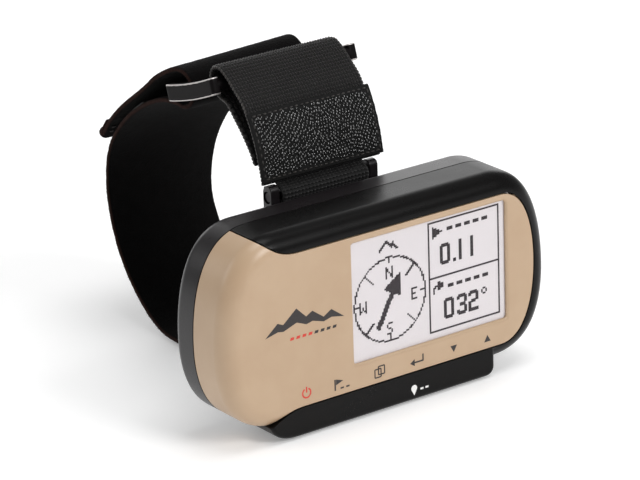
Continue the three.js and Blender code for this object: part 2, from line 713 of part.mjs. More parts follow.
function ringSolid() {
  const halfX = ringInner + ringSideWidth;
  const halfY = (ringSpan + ringBar) / 2;
  const outline = new THREE.Shape();
  const hole = new THREE.Path();
  const corner = 1.6;
  outline.moveTo(-halfX + corner, -halfY);
  outline.lineTo(halfX - corner, -halfY);
  outline.absarc(halfX - corner, -halfY + corner, corner, -Math.PI / 2, 0);
  outline.absarc(halfX - corner, halfY - corner, corner, 0, Math.PI / 2);
  outline.absarc(-halfX + corner, halfY - corner, corner, Math.PI / 2, Math.PI);
  outline.absarc(-halfX + corner, -halfY + corner, corner, Math.PI, 1.5 * Math.PI);
  const innerY = (ringSpan - ringBar) / 2;
  hole.moveTo(-ringInner, -innerY);
  hole.lineTo(-ringInner, innerY);
  hole.lineTo(ringInner, innerY);
  hole.lineTo(ringInner, -innerY);
  outline.holes.push(hole);
  const geometry = new THREE.ExtrudeGeometry(outline, {
    depth: ringSideHeight - 0.6, bevelEnabled: true, bevelThickness: 0.3, bevelSize: 0.3, bevelOffset: -0.3,
    bevelSegments: 1, curveSegments: 4,
  });
  geometry.translate(0, 0, 0.3 - ringSideHeight / 2);
  const frame = toSolid(geometry);
  const above = block(-ringInner, ringInner, -halfY - 1, halfY + 1, ringBar / 2, ringSideHeight);
  const below = block(-ringInner, ringInner, -halfY - 1, halfY + 1, -ringSideHeight, -ringBar / 2);
  const geometryOfFrame = toGeometry(frame.subtract(above).subtract(below));
  geometryOfFrame.translate(0, ringSpan / 2, 0);
  return geometryOfFrame;
}

const ring = addNode("strap_ring", ringSolid(), blackMetal);
ring.position.set(0, ...ringFront);
ring.rotation.x = ringPitch;

// ---- Long strap ----
// Its two edges from the lower tab, along the floor, up behind the wrist, through the ring and back.
const longLeft = [
  [23.5, 0.65], [36, 0.65], [49, 0.75], [59.5, 1.5], [66.9, 6.0], [73.0, 12.9], [76.9, 21.4], [78.2, 30.4],
  [76.4, 38.8], [70.6, 46.1], [62.6, 51.7], [55.5, 54.8], [50.0, 55.6],
];
const longRight = [
  [23.5, 0.65], [36, 0.65], [52, 0.7], [64.2, 2.8], [72.8, 7.2], [78.6, 13.0], [81.9, 20.6], [81.0, 29.0],
  [77.4, 36.9], [71.4, 44.0], [64.0, 49.8], [57.0, 53.6], [51.2, 55.7],
];
const overBar = [[46.2, 55.5], [43.7, 57.3], [43.1, 60.0], [44.9, 62.4], [48.4, 63.2]];

// The returning run lies on the outside of the rising one, above the hook tape. Each stop is a place on
// the rising run, by its point numbers, and how far above it the returning run lies there.
const returnLift = strapThickness + hookThickness + 2.5 * hookGap;
const returnStops = [[11, 2.1], [10.5, 0.9], [10, 0.3], [9.5, 0], [9, 0], [8.5, 0], [8.1, 0]];
function returnRun(run) {
  const curve = edgeCurve(run, 0);
  return returnStops.map(([stop, rise]) => {
    const point = curve.getPoint(stop / (run.length - 1));
    const tangent = curve.getTangent(stop / (run.length - 1));
    const lift = returnLift + rise;
    return [point.y + tangent.z * lift, point.z - tangent.y * lift];
  });
}
function strapEdge(run) {
  const rising = run.map(stretch);
  return [...rising, ...overBar.map(stretch), ...returnRun(rising)];
}
const leftEdge = strapEdge(longLeft);
const rightEdge = strapEdge(longRight);
addNode("long_strap", bentStrip(leftEdge, rightEdge, strapWidth, strapThickness, 72), webbingCloth);

// Hook tape sewn under the free end, between the two runs.
const lastStop = leftEdge.length - 1;
addNode(
  "hook_tape",
  bentStrip(leftEdge, rightEdge, strapWidth, hookThickness, 10, {
    from: 8.25 / lastStop, to: 9.9 / lastStop, cover: hookWidth,
    offset: (strapThickness + hookThickness) / 2 + 1.25 * hookGap,
  }),
  webbingCloth,
);

export default root;
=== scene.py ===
"""Looks of a wrist-worn GPS receiver: shells, display, printing, webbing, hide patch, ring and pile strap."""

import bisect
import json
import math
import random

import bmesh
import bpy
from mathutils import Matrix, Vector, noise

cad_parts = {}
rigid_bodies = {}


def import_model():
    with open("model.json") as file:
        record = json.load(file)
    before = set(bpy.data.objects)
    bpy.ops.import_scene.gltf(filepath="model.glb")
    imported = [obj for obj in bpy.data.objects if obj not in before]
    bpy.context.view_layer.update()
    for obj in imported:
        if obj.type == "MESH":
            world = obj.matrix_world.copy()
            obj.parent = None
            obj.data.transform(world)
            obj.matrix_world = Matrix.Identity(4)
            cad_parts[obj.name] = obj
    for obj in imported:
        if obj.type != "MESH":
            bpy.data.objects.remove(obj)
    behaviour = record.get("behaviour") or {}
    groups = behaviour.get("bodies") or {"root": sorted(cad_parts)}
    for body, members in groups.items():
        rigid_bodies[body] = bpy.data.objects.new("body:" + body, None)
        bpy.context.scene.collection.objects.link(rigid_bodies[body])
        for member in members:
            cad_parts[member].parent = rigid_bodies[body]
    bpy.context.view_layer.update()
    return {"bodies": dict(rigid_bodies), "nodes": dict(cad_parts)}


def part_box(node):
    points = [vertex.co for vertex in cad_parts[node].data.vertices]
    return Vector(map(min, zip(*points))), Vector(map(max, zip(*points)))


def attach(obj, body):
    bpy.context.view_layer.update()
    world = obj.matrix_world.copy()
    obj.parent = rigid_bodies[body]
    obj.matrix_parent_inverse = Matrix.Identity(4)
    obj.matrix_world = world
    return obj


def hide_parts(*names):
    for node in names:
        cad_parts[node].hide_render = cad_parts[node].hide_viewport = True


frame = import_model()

MM = 0.001  # shapes are drawn in millimetres and scaled down as each piece is finished
random.seed(7)


def node_box(node):
    """A CAD node's lowest and highest corners, in millimetres."""
    low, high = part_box(node)
    return low / MM, high / MM


# ---- Sizes in millimetres, worked out from the frame ----
CASE_LOW, CASE_HIGH = node_box("bumper")
HALF_WIDTH = CASE_HIGH.x
FACE_Y = CASE_LOW.y
SEAM_FRONT = CASE_HIGH.y
GAP = 0.3
SEAM_BACK = SEAM_FRONT + GAP
WALL = 1.6
TOP = CASE_HIGH.z
BOTTOM = node_box("case_seal")[0].z - 0.5
MID_Z = (TOP + BOTTOM) / 2
WIDEST_Z = MID_Z - 2.4
CORNER_RUN = 13.8
FRONT_ROUND = 4.0
REAR_ROUND = 2.6
RIM_BACK = SEAM_BACK - GAP / 2 + 7.2

PANEL_TOP = MID_Z + 16.1
PANEL_BOTTOM = MID_Z - 17.1
PANEL_RIGHT = HALF_WIDTH - 4.1
PANEL_ENTRY = 8.2 - HALF_WIDTH
BAR_LEFT = 17.4 - HALF_WIDTH
BAR_RIGHT = HALF_WIDTH - 14.8

LENS_LOW, LENS_HIGH = node_box("window_lens")
LENS_GAP = 0.1
WINDOW_X = (LENS_LOW.x + LENS_HIGH.x) / 2
WINDOW_Z = (LENS_LOW.z + LENS_HIGH.z) / 2
WINDOW_HALF_X = (LENS_HIGH.x - LENS_LOW.x) / 2 + LENS_GAP
WINDOW_HALF_Z = (LENS_HIGH.z - LENS_LOW.z) / 2 + LENS_GAP
LCD_LOW, LCD_HIGH = node_box("lcd_panel")

DOOR_LOW, DOOR_HIGH = node_box("battery_door")
SCREW_LOW, SCREW_HIGH = node_box("door_screw")
SCREW_X = (SCREW_LOW.x + SCREW_HIGH.x) / 2
BULGE_HALF_X = -DOOR_LOW.x
BULGE_HALF_Z = (DOOR_HIGH.z - DOOR_LOW.z) / 2
BAY_HALF_X = BULGE_HALF_X - WALL
BAY_HALF_Z = BULGE_HALF_Z - WALL
BAY_FLOOR_Y = node_box("cell_upper")[0].y - GAP
BAY_RIM_Y = DOOR_LOW.y - GAP

PIN_LOW, PIN_HIGH = node_box("strap_pin_upper")
PIN_Y = (PIN_LOW.y + PIN_HIGH.y) / 2
UPPER_PIN_Z = (PIN_LOW.z + PIN_HIGH.z) / 2
LOWER_PIN_Z = (node_box("strap_pin_lower")[0].z + node_box("strap_pin_lower")[1].z) / 2
TAB_WIDTH = node_box("upper_tab")[1].x * 2
WEBBING_WIDTH = node_box("short_strap")[1].x * 2
STRAP_WIDTH = 30.0


# ---- Shader wiring ----
def paint(red, green, blue):
    """A colour given in screen values, as the shader's linear values."""
    linear = [((c / 255 + 0.055) / 1.055) ** 2.4 if c > 10 else c / 255 / 12.92 for c in (red, green, blue)]
    return (*linear, 1.0)


class Wire:
    """A value in a material's node tree, so that shader maths reads as plain sums."""

    def __init__(self, finish, socket):
        self.finish = finish
        self.socket = socket

    def maths(self, operation, first, second=0.0):
        return self.finish.node("ShaderNodeMath", {"operation": operation}, {0: first, 1: second})

    def __add__(self, other):
        return self.maths("ADD", self, other)

    def __sub__(self, other):
        return self.maths("SUBTRACT", self, other)

    def __rsub__(self, other):
        return self.maths("SUBTRACT", other, self)

    def __mul__(self, other):
        return self.maths("MULTIPLY", self, other)

    def __truediv__(self, other):
        return self.maths("DIVIDE", self, other)

    def __gt__(self, other):
        return self.maths("GREATER_THAN", self, other)

    def __lt__(self, other):
        return self.maths("LESS_THAN", self, other)

    __radd__ = __add__
    __rmul__ = __mul__

    def sine(self):
        return self.maths("SINE", self)

    def size(self):
        return self.maths("ABSOLUTE", self)

    def at_least(self, other):
        return self.maths("MAXIMUM", self, other)


class Finish:
    """One material: a principled shader and what feeds it."""

    def __init__(self, name, **constants):
        self.material = bpy.data.materials.new(name)
        self.material.use_nodes = True
        self.tree = self.material.node_tree
        self.shader = self.tree.nodes["Principled BSDF"]
        self.set(**constants)

    def set(self, **values):
        """Sets or links the shader's sockets: base_color, roughness and so on."""
        for name, value in values.items():
            self.feed(self.shader.inputs[name.replace("_", " ").title().replace("Ior", "IOR")], value)

    def feed(self, socket, value):
        if isinstance(value, Wire):
            self.tree.links.new(value.socket, socket)
        else:
            socket.default_value = value

    def node(self, kind, settings=None, inputs=None, output=0):
        made = self.tree.nodes.new(kind)
        for name, value in (settings or {}).items():
            if name == "stops":
                self.stops(made.color_ramp, value)
            else:
                setattr(made, name, value)
        for name, value in (inputs or {}).items():
            self.feed(made.inputs[name], value)
        return Wire(self, made.outputs[output])

    @staticmethod
    def stops(ramp, stops):
        while len(ramp.elements) < len(stops):
            ramp.elements.new(0.5)
        for element, (position, colour) in zip(ramp.elements, stops):
            element.position = position
            element.color = colour if isinstance(colour, tuple) else (colour, colour, colour, 1.0)

    def place(self, scale=1.0, source="Object"):
        """Coordinates in millimetres over the scale, from the piece's own space or its UV map."""
        kind = self.node("ShaderNodeTexCoord", output=source)
        grow = (1 / MM if source == "Object" else 1.0) / scale
        return self.node("ShaderNodeMapping", None, {"Vector": kind, "Scale": (grow,) * 3})

    def split(self, vector, axis):
        return self.node("ShaderNodeSeparateXYZ", None, {"Vector": vector}, output=axis)

    def noise(self, vector, detail=3.0, roughness=0.55, scale=1.0):
        inputs = {"Vector": vector, "Scale": scale, "Detail": detail, "Roughness": roughness}
        return self.node("ShaderNodeTexNoise", None, inputs, output="Fac")

    def cells(self, vector, scale=1.0):
        return self.node("ShaderNodeTexVoronoi", None, {"Vector": vector, "Scale": scale}, "Distance")

    def mix(self, factor, first, second):
        return self.node("ShaderNodeMix", {"data_type": "RGBA"}, {0: factor, 6: first, 7: second}, output=2)

    def ramp(self, factor, *stops):
        return self.node("ShaderNodeValToRGB", {"stops": stops}, {"Fac": factor})

    def shades(self, where, low, high, first, second):
        """The first colour below low, the second above high, and a blend between."""
        return self.mix(self.ramp(where, (low, 0.0), (high, 1.0)), first, second)

    def bump(self, height, depth):
        """Relief, its depth in millimetres."""
        inputs = {"Height": height, "Distance": depth * MM, "Strength": 1.0}
        self.set(normal=self.node("ShaderNodeBump", None, inputs))


# ---- Materials ----
def moulded(name, colour, shade, roughness, grain=0.35, depth=0.012, **constants):
    """Moulded plastic or rubber: a fine even grain and slight clouds of shade."""
    made = Finish(name, **constants)
    clouds = made.noise(made.place(9.0), 4.0)
    grains = made.noise(made.place(grain), 2.0)
    made.set(base_color=made.shades(clouds, 0.35, 0.7, colour, shade))
    made.set(roughness=roughness + (clouds - 0.5) * 0.16 + (grains - 0.5) * 0.12)
    made.bump(grains, depth)
    return made.material


def metal(name, colour, roughness, stretch=(1, 1, 1), depth=0.004, **constants):
    """Bare metal with fine scratches drawn out along one axis."""
    made = Finish(name, metallic=1.0, **constants)
    spot = made.place(0.5)
    along = made.node("ShaderNodeMapping", None, {"Vector": spot, "Scale": stretch})
    scratches = made.noise(along, 6.0, 0.7)
    stains = made.noise(made.place(4.0), 3.0)
    dark = tuple(c * 0.62 for c in colour[:3]) + (1.0,)
    made.set(base_color=made.shades(stains, 0.4, 0.75, colour, dark))
    made.set(roughness=roughness + (scratches - 0.5) * 0.25)
    made.bump(scratches, depth)
    return made.material


def printing(name, colour, roughness=0.45):
    """Pad-printed ink with a slightly uneven film."""
    made = Finish(name)
    film = made.noise(made.place(0.25), 3.0)
    thin = tuple(min(1.0, c * 1.35 + 0.01) for c in colour[:3]) + (1.0,)
    made.set(base_color=made.shades(film, 0.45, 0.8, colour, thin))
    made.set(roughness=roughness + (film - 0.5) * 0.2)
    made.bump(film, 0.003)
    return made.material


def yarn(name, colour, shade, roughness=0.5):
    """Shiny twisted yarn: fine slanted plies on each float, and floats of slightly differing shade."""
    made = Finish(name, sheen_weight=0.04, sheen_roughness=0.4)
    flat = made.place(1.0, "UV")
    across, along = made.split(flat, "X"), made.split(flat, "Y")
    plies = ((across * 3.0 + along * 1.6) * 22.0).sine() * 0.5 + 0.5
    shades = made.cells(flat, 1.4)
    made.set(base_color=made.shades(shades, 0.15, 0.75, colour, shade))
    made.set(roughness=roughness + plies * 0.14)
    made.bump(plies, 0.03)
    return made.material


def pile_cloth():
    """Brushed loop pile, browner and lighter where the cut edges show their core."""
    made = Finish("black_pile", sheen_weight=0.02, sheen_roughness=0.5, specular_ior_level=0.08)
    flat = made.place(1.0, "UV")
    loops = made.noise(flat, 5.0, 0.7, 3.2)
    patches = made.noise(flat, 2.0, 0.5, 0.28)
    outwards = made.split(flat, "X").size() / (STRAP_WIDTH / 2) + (loops - 0.5) * 0.03
    edge = made.ramp(outwards, (0.97, 0.0), (1.0, 1.0))
    body = made.shades(patches, 0.3, 0.75, paint(4, 3, 3), paint(8, 7, 7))
    made.set(base_color=made.mix(edge, body, paint(52, 33, 28)), roughness=0.86 + loops * 0.12)
    made.bump(loops + made.cells(flat, 2.6) * 0.6, 0.16)
    return made.material


def hide(name, dark, worn_shade, roughness, shine):
    """Pressed hide, shinier where it is worn."""
    made = Finish(name, coat_roughness=0.12, specular_ior_level=0.25 + shine)
    flat = made.place(1.0, "UV")
    pores = made.noise(flat, 4.0, 0.7, 5.0)
    worn = made.noise(flat, 2.0, 0.5, 0.22)
    made.set(base_color=made.shades(worn, 0.4, 0.75, dark, worn_shade))
    made.set(roughness=roughness + pores * 0.16)
    made.set(coat_weight=made.ramp(worn, (0.35, shine * 0.5), (0.7, shine)))
    made.bump(pores, 0.03)
    return made.material


def enamel(name):
    """Black enamel on steel, rubbed bright along the ring's upper and lower edges."""
    made = Finish(name, coat_roughness=0.2, specular_ior_level=0.06)
    height = made.node("ShaderNodeAttribute", {"attribute_name": "height"}, output="Fac")
    rubs = made.noise(made.place(1.1), 6.0, 0.7)
    scuffs = made.noise(made.place(0.35), 5.0, 0.8)
    bare = ((height + (rubs - 0.5) * 0.3) > 1.54) * (height < 1.79)
    made.set(base_color=made.mix(bare, paint(14, 11, 12), paint(205, 200, 198)))
    made.set(metallic=bare * 0.9, roughness=0.34 + scuffs * 0.2, coat_weight=0.04 - bare * 0.04)
    made.bump(scuffs, 0.006)
    return made.material


def display_face():
    """The display's pale grey face with the faint grid of its cells."""
    made = Finish("lcd")
    spot = made.place(CELL)
    lines = [((made.split(spot, axis) * (2 * math.pi)).sine() > 0.94) for axis in ("X", "Z")]
    grid = lines[0].at_least(lines[1])
    haze = made.noise(made.place(14.0), 2.0)
    pale = made.mix(haze, paint(242, 236, 238), paint(234, 228, 231))
    made.set(base_color=made.mix(grid * 0.35, pale, paint(214, 208, 212)), roughness=0.42 + haze * 0.08)
    made.bump(grid, 0.004)
    return made.material


def clear_plastic():
    """A clear plate that hardly shows, apart from its reflections and faint wipe marks."""
    made = Finish("clear_window", base_color=paint(20, 20, 22), coat_roughness=0.03, specular_ior_level=0.5)
    drawn_out = made.node("ShaderNodeMapping", None, {"Vector": made.place(6.0), "Scale": (1, 1, 4)})
    wipes = made.noise(drawn_out, 4.0)
    made.set(alpha=0.03 + wipes * 0.02, roughness=0.06 + wipes * 0.06, coat_weight=0.3 + wipes * 0.2)
    return made.material


def circuit_board():
    """Solder mask with buried tracks and bright pads."""
    made = Finish("circuit_board")
    spot = made.place(1.0)
    inputs = {"Vector": spot, "Scale": 0.35, "Mortar Size": 0.03}
    tracks = made.node("ShaderNodeTexBrick", None, inputs, "Fac")
    pads = made.cells(made.place(2.4), 1.0) < 0.16
    green = made.mix(tracks, paint(24, 84, 50), paint(40, 112, 66))
    made.set(base_color=made.mix(pads, green, paint(206, 190, 140)), metallic=pads * 0.9)
    made.set(roughness=0.34 + tracks * 0.1)
    made.bump(tracks + pads, 0.03)
    return made.material


def cell_wrap(name, direction):
    """A cell's printed sleeve: dark body and a copper-coloured band at its positive end."""
    made = Finish(name)
    place = made.split(made.place(1.0), "X") * float(direction)
    scuffs = made.noise(made.place(0.8), 5.0, 0.7)
    band = place > 11.0
    ends = (place > 21.35) + (place < -21.6)
    body = made.mix(band, paint(30, 33, 40), paint(186, 122, 66))
    made.set(base_color=made.mix(ends, body, paint(198, 198, 196)), metallic=band * 0.6 + ends * 0.4)
    made.set(roughness=0.26 + scuffs * 0.16)
    made.bump(scuffs, 0.004)
    return made.material


CELL = 0.378  # pitch of the display's cells
PALE = moulded("pale_shell", paint(190, 163, 134), paint(185, 157, 128), 0.34, 0.3, 0.003)
RUBBER = moulded("dark_rubber", paint(9, 8, 8), paint(7, 6, 6), 0.3, 0.22, 0.012, specular_ior_level=0.15)
SHELL = moulded("dark_shell", paint(24, 20, 22), paint(19, 16, 18), 0.3, 0.2, 0.014,
                specular_ior_level=0.38)
KEY_RUBBER = moulded("key_rubber", paint(44, 44, 46), paint(37, 37, 38), 0.62, 0.18, 0.02)
WHITE = moulded("white_moulding", paint(236, 236, 234), paint(226, 226, 222), 0.45)
CERAMIC = moulded("ceramic_antenna", paint(190, 168, 128), paint(176, 152, 112), 0.6, 0.15, 0.02)
SEAL = moulded("seal_rubber", paint(124, 66, 46), paint(108, 56, 40), 0.62)
TIN = metal("tin_plate", paint(200, 202, 204), 0.32, (1, 1, 5))
PIN_STEEL = metal("blackened_pin", paint(58, 56, 58), 0.36)
STEEL = metal("screw_steel", paint(186, 188, 192), 0.3, (4, 1, 4))
INK_DARK = printing("ink_dark", paint(38, 32, 32))
INK_RED = printing("ink_red", paint(200, 52, 38))
INK_WHITE = printing("ink_white", paint(232, 232, 230))
LCD_INK = printing("lcd_ink", paint(40, 30, 36), 0.5)
LCD = display_face()
CLEAR = clear_plastic()
BOARD = circuit_board()
WEBBING = yarn("black_webbing", paint(8, 6, 6), paint(32, 29, 27), 0.24)
RIBBED = yarn("black_ribbed_webbing", paint(7, 6, 6), paint(14, 13, 13), 0.4)
THREAD = yarn("sewing_thread", paint(34, 32, 31), paint(62, 58, 55), 0.3)
PILE = pile_cloth()
HOOKS = moulded("hook_tape", paint(10, 10, 11), paint(16, 16, 17), 0.45, 0.5, 0.06)
HIDE = hide("patch_hide", paint(3, 3, 3), paint(7, 7, 6), 0.7, 0.0)
HIDE_DOMES = hide("patch_hide_domes", paint(9, 9, 9), paint(24, 23, 21), 0.06, 1.0)
GROUND = yarn("webbing_ground", paint(3, 3, 3), paint(6, 5, 5), 0.75)


# ---- Outlines, as points in X and Z or any other two axes ----
def bezier(start, pull, push, end, steps):
    """Points of a curve from start to end, without its start."""
    points = []
    for i in range(1, steps + 1):
        t = i / steps
        weights = ((1 - t) ** 3, 3 * t * (1 - t) ** 2, 3 * t * t * (1 - t), t ** 3)
        points.append(tuple(sum(w * p[k] for w, p in zip(weights, (start, pull, push, end))) for k in (0, 1)))
    return points


def arc(x, z, radius, start, end, steps):
    """Points of an arc between two angles in degrees."""
    angles = [math.radians(start + (end - start) * i / steps) for i in range(steps + 1)]
    return [(x + radius * math.cos(a), z + radius * math.sin(a)) for a in angles]


def rounded_box(x, z, half_x, half_z, radius, steps=6):
    points = []
    for i, (side_x, side_z) in enumerate(((1, 1), (-1, 1), (-1, -1), (1, -1))):
        centre = (x + side_x * (half_x - radius), z + side_z * (half_z - radius))
        points += arc(*centre, radius, 90 * i, 90 * i + 90, steps)
    return points


def case_outline(inset=0.0, steps=26):
    """The case's outline: straight at top and bottom, egg-shaped at the sides."""
    side, top, bottom = HALF_WIDTH - inset, TOP - inset, BOTTOM + inset
    shoulder = HALF_WIDTH - CORNER_RUN
    share = (CORNER_RUN - inset) / CORNER_RUN
    up, down = 10.8 * share, 9.9 * share
    right = [(shoulder, bottom)]
    right += bezier(right[-1], (shoulder + down, bottom), (side, WIDEST_Z - down), (side, WIDEST_Z), steps)
    right += bezier(right[-1], (side, WIDEST_Z + up), (shoulder + up, top), (shoulder, top), steps)
    straight = [(shoulder * (1 - 2 * i / 12), top) for i in range(1, 12)]
    foot = [(-x, bottom) for x, z in straight]
    return right + straight + [(-x, z) for x, z in reversed(right)] + foot


def panel_outline(grow=0.0, steps=20):
    """The pale panel's outline, open to the left, with the bumper round its other three sides."""
    left, top, bottom, right = -HALF_WIDTH - 10, PANEL_TOP + grow, PANEL_BOTTOM - grow, PANEL_RIGHT + grow
    entry, sweep_end = PANEL_ENTRY, PANEL_ENTRY + 10.7
    points = [(left, BOTTOM - 2 - grow), (entry, BOTTOM - 0.4 - grow)]
    points += bezier(points[-1], (entry + 4.2, bottom - 2.1), (entry + 6.2, bottom), (sweep_end, bottom), steps)
    points += [(right - 8.8, bottom)]
    points += bezier(points[-1], (right - 3.3, bottom), (right, MID_Z - 9.9), (right, MID_Z - 0.2), steps)
    points += bezier(points[-1], (right, MID_Z + 9.6), (right - 3.1, top), (right - 8.3, top), steps)
    points += [(sweep_end, top)]
    points += bezier(points[-1], (entry + 4.7, top), (entry + 3.7, top + 3), (entry, TOP + 0.4 + grow), steps)
    return points + [(left, TOP + 2 + grow)]


def bar_outline():
    """The key bar's outline, with a sweeping left end and a rounded right foot."""
    top, foot = PANEL_BOTTOM - GAP / 2 + 3, 2.0
    points = [(BAR_LEFT - 7.5, top)]
    points += bezier(points[-1], (BAR_LEFT - 7.5, 2), (BAR_LEFT - 5.2, 0), (BAR_LEFT, 0), 14)
    points += arc(BAR_RIGHT - foot, foot, foot, -90, 0, 8)
    return points + [(BAR_RIGHT, top)]


# ---- Solids, in millimetres ----
def shift(bm, vec):
    bmesh.ops.translate(bm, verts=bm.verts[:], vec=vec)


def thicken(bm, vec):
    """Draws a flat shape out along vec, into a closed one."""
    far = bmesh.ops.extrude_face_region(bm, geom=bm.faces[:])["geom"]
    bmesh.ops.translate(bm, verts=[v for v in far if isinstance(v, bmesh.types.BMVert)], vec=vec)
    bmesh.ops.recalc_face_normals(bm, faces=bm.faces[:])


def round_edges(bm, edges, radius, segments, **more):
    bmesh.ops.bevel(
        bm, geom=edges, offset=radius, offset_type="OFFSET", affect="EDGES", segments=segments, profile=0.5,
        material=-1, **more)


def plate(outline, front, back, round_front=0.0, round_back=0.0, steps=6, flare=0.0):
    """An outline in X and Z given a thickness along Y, with its rims rounded, or its front flared wider."""
    bm = bmesh.new()
    bm.faces.new([bm.verts.new((x, front, z)) for x, z in outline])
    thicken(bm, (0, back - front, 0))
    if flare:
        rim = [v for v in bm.verts if abs(v.co.y - front) < 1e-4]
        centre = sum((v.co for v in rim), Vector()) / len(rim)
        for v in rim:
            reach = v.co - centre
            v.co += Vector((math.copysign(flare, reach.x), 0, math.copysign(flare, reach.z)))
    for level, amount in ((front, round_front), (back, round_back)):
        if amount:
            rim = [e for e in bm.edges if all(abs(v.co.y - level) < 1e-4 for v in e.verts)]
            round_edges(bm, rim, amount, steps, clamp_overlap=True)
    return bm


def turned(profile, x, z, steps=40):
    """A profile of (radius, y) points turned about an axis along Y."""
    bm = bmesh.new()
    verts = [bm.verts.new((r, y, 0)) for r, y in profile]
    edges = [bm.edges.new(pair) for pair in zip(verts, verts[1:])]
    bmesh.ops.spin(
        bm, geom=verts + edges, cent=(0, 0, 0), axis=(0, 1, 0), angle=math.tau, steps=steps, use_merge=True)
    bmesh.ops.remove_doubles(bm, verts=bm.verts[:], dist=1e-5)
    bmesh.ops.recalc_face_normals(bm, faces=bm.faces[:])
    shift(bm, (x, 0, z))
    return bm


def rod(radius, front, back, x=0, z=0, steps=40):
    """A plain cylinder along Y."""
    return turned([(0, front), (radius, front), (radius, back), (0, back)], x, z, steps)


def brick(low, high):
    bm = bmesh.new()
    bmesh.ops.create_cube(bm, size=1)
    size = [b - a for a, b in zip(low, high)]
    bmesh.ops.scale(bm, verts=bm.verts[:], vec=size)
    shift(bm, [(a + b) / 2 for a, b in zip(low, high)])
    return bm


def turn(bm, angle, axis, centre=(0, 0, 0)):
    bmesh.ops.rotate(bm, verts=bm.verts[:], cent=centre, matrix=Matrix.Rotation(math.radians(angle), 3, axis))
    return bm


def linked(name, data):
    """A new object in the scene."""
    obj = bpy.data.objects.new(name, data)
    bpy.context.scene.collection.objects.link(obj)
    return obj


def held(bm):
    """The bmesh as an object in the scene, for a while."""
    mesh = bpy.data.meshes.new("held")
    bm.to_mesh(mesh)
    bm.free()
    return linked("held", mesh)


def combine(first, second, operation):
    """Two solids cut, joined or kept in common."""
    target, tool = held(first), held(second)
    change = target.modifiers.new("change", "BOOLEAN")
    change.operation, change.solver, change.object = operation, "EXACT", tool
    made = bmesh.new()
    made.from_object(target, bpy.context.evaluated_depsgraph_get())
    for obj in (target, tool):
        bpy.data.objects.remove(obj)
    bmesh.ops.remove_doubles(made, verts=made.verts[:], dist=2e-4)
    return made


def cut(solid, *tools):
    for tool in tools:
        solid = combine(solid, tool, "DIFFERENCE")
    return solid


def join(solid, *others):
    for other in others:
        solid = combine(solid, other, "UNION")
    return solid


def put_together(parts):
    """Separate closed shapes gathered in one mesh."""
    whole = bmesh.new()
    for part in parts:
        mesh = bpy.data.meshes.new("part")
        part.to_mesh(mesh)
        part.free()
        whole.from_mesh(mesh)
        bpy.data.meshes.remove(mesh)
    return whole


def piece(name, bm, body, material, replaces=(), crease=32, soften=0.0, weighted=True):
    """Finishes a shape as a piece of the object that rides on a body."""
    bmesh.ops.scale(bm, verts=bm.verts[:], vec=(MM, MM, MM))
    mesh = bpy.data.meshes.new(name)
    bm.to_mesh(mesh)
    bm.free()
    mesh.materials.append(material)
    mesh.shade_smooth()
    mesh.set_sharp_from_angle(angle=math.radians(crease))
    obj = linked(name, mesh)
    if soften:
        bevel = obj.modifiers.new("softened_edges", "BEVEL")
        bevel.width, bevel.segments, bevel.limit_method = soften * MM, 2, "ANGLE"
        bevel.angle_limit, bevel.harden_normals = math.radians(crease + 15), False
    if weighted:
        obj.modifiers.new("even_shading", "WEIGHTED_NORMAL").keep_sharp = not soften
    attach(obj, body)
    if replaces:
        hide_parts(*replaces)
    return obj


# ---- Case ----
SCREW_PLACES = [(sx * (HALF_WIDTH - 7.5), MID_Z + sz * 12.8) for sz in (1, -1) for sx in (-1, 1)]
CAVITY_ROUND = FRONT_ROUND - WALL
POST_RADIUS, POST_BORE, DOOR_BORE = 2.3, 1.3, 1.6


def front_shell():
    """The front half's full shell, before it is parted into panel and bumper."""
    outer = plate(case_outline(), FACE_Y, SEAM_FRONT, FRONT_ROUND, 0, 12)
    return cut(outer, plate(case_outline(WALL), FACE_Y + WALL, SEAM_FRONT + 2, CAVITY_ROUND, 0, 5))


def window_hole():
    return plate(rounded_box(WINDOW_X, WINDOW_Z, WINDOW_HALF_X, WINDOW_HALF_Z, 0.7), FACE_Y - 1, FACE_Y + 3)


def window_slope():
    """The shallow slope that leads from the panel's face down to the window."""
    outline = rounded_box(WINDOW_X, WINDOW_Z, WINDOW_HALF_X - 0.1, WINDOW_HALF_Z - 0.1, 0.7)
    return plate(outline, FACE_Y - 0.1, FACE_Y + 0.6, flare=0.75)


def display_pocket():
    low, high = LCD_LOW, LCD_HIGH
    outline = rounded_box((low.x + high.x) / 2, (low.z + high.z) / 2, (high.x - low.x) / 2 + 0.2,
                          (high.z - low.z) / 2 + 0.2, 0.9)
    return plate(outline, low.y - 0.1, FACE_Y + 4)


def key_gallery():
    """The room above the key bar's floor, where the keys' flanges move."""
    first, last = node_box("key_power")[0], node_box("key_up")[1]
    floor_z = BOTTOM + WALL
    return brick((first.x - GAP, first.y - GAP, floor_z), (last.x + GAP, last.y + GAP, floor_z + 4))


def posts(radius, front, back):
    return [rod(radius, front, back, x, z, 28) for x, z in SCREW_PLACES]


def make_front():
    reach = 5
    panel = plate(panel_outline(-GAP / 2), FACE_Y - reach, SEAM_FRONT + reach)
    shell = combine(front_shell(), panel, "INTERSECT")
    shell = join(shell, *posts(POST_RADIUS, FACE_Y + WALL - 0.4, SEAM_FRONT))
    shell = cut(shell, *posts(POST_BORE, FACE_Y + WALL + 0.4, SEAM_FRONT + 1))
    shell = cut(shell, window_hole(), window_slope(), display_pocket(), key_gallery())
    piece("front_panel", shell, "case", PALE, ["front_case"], soften=0.12)


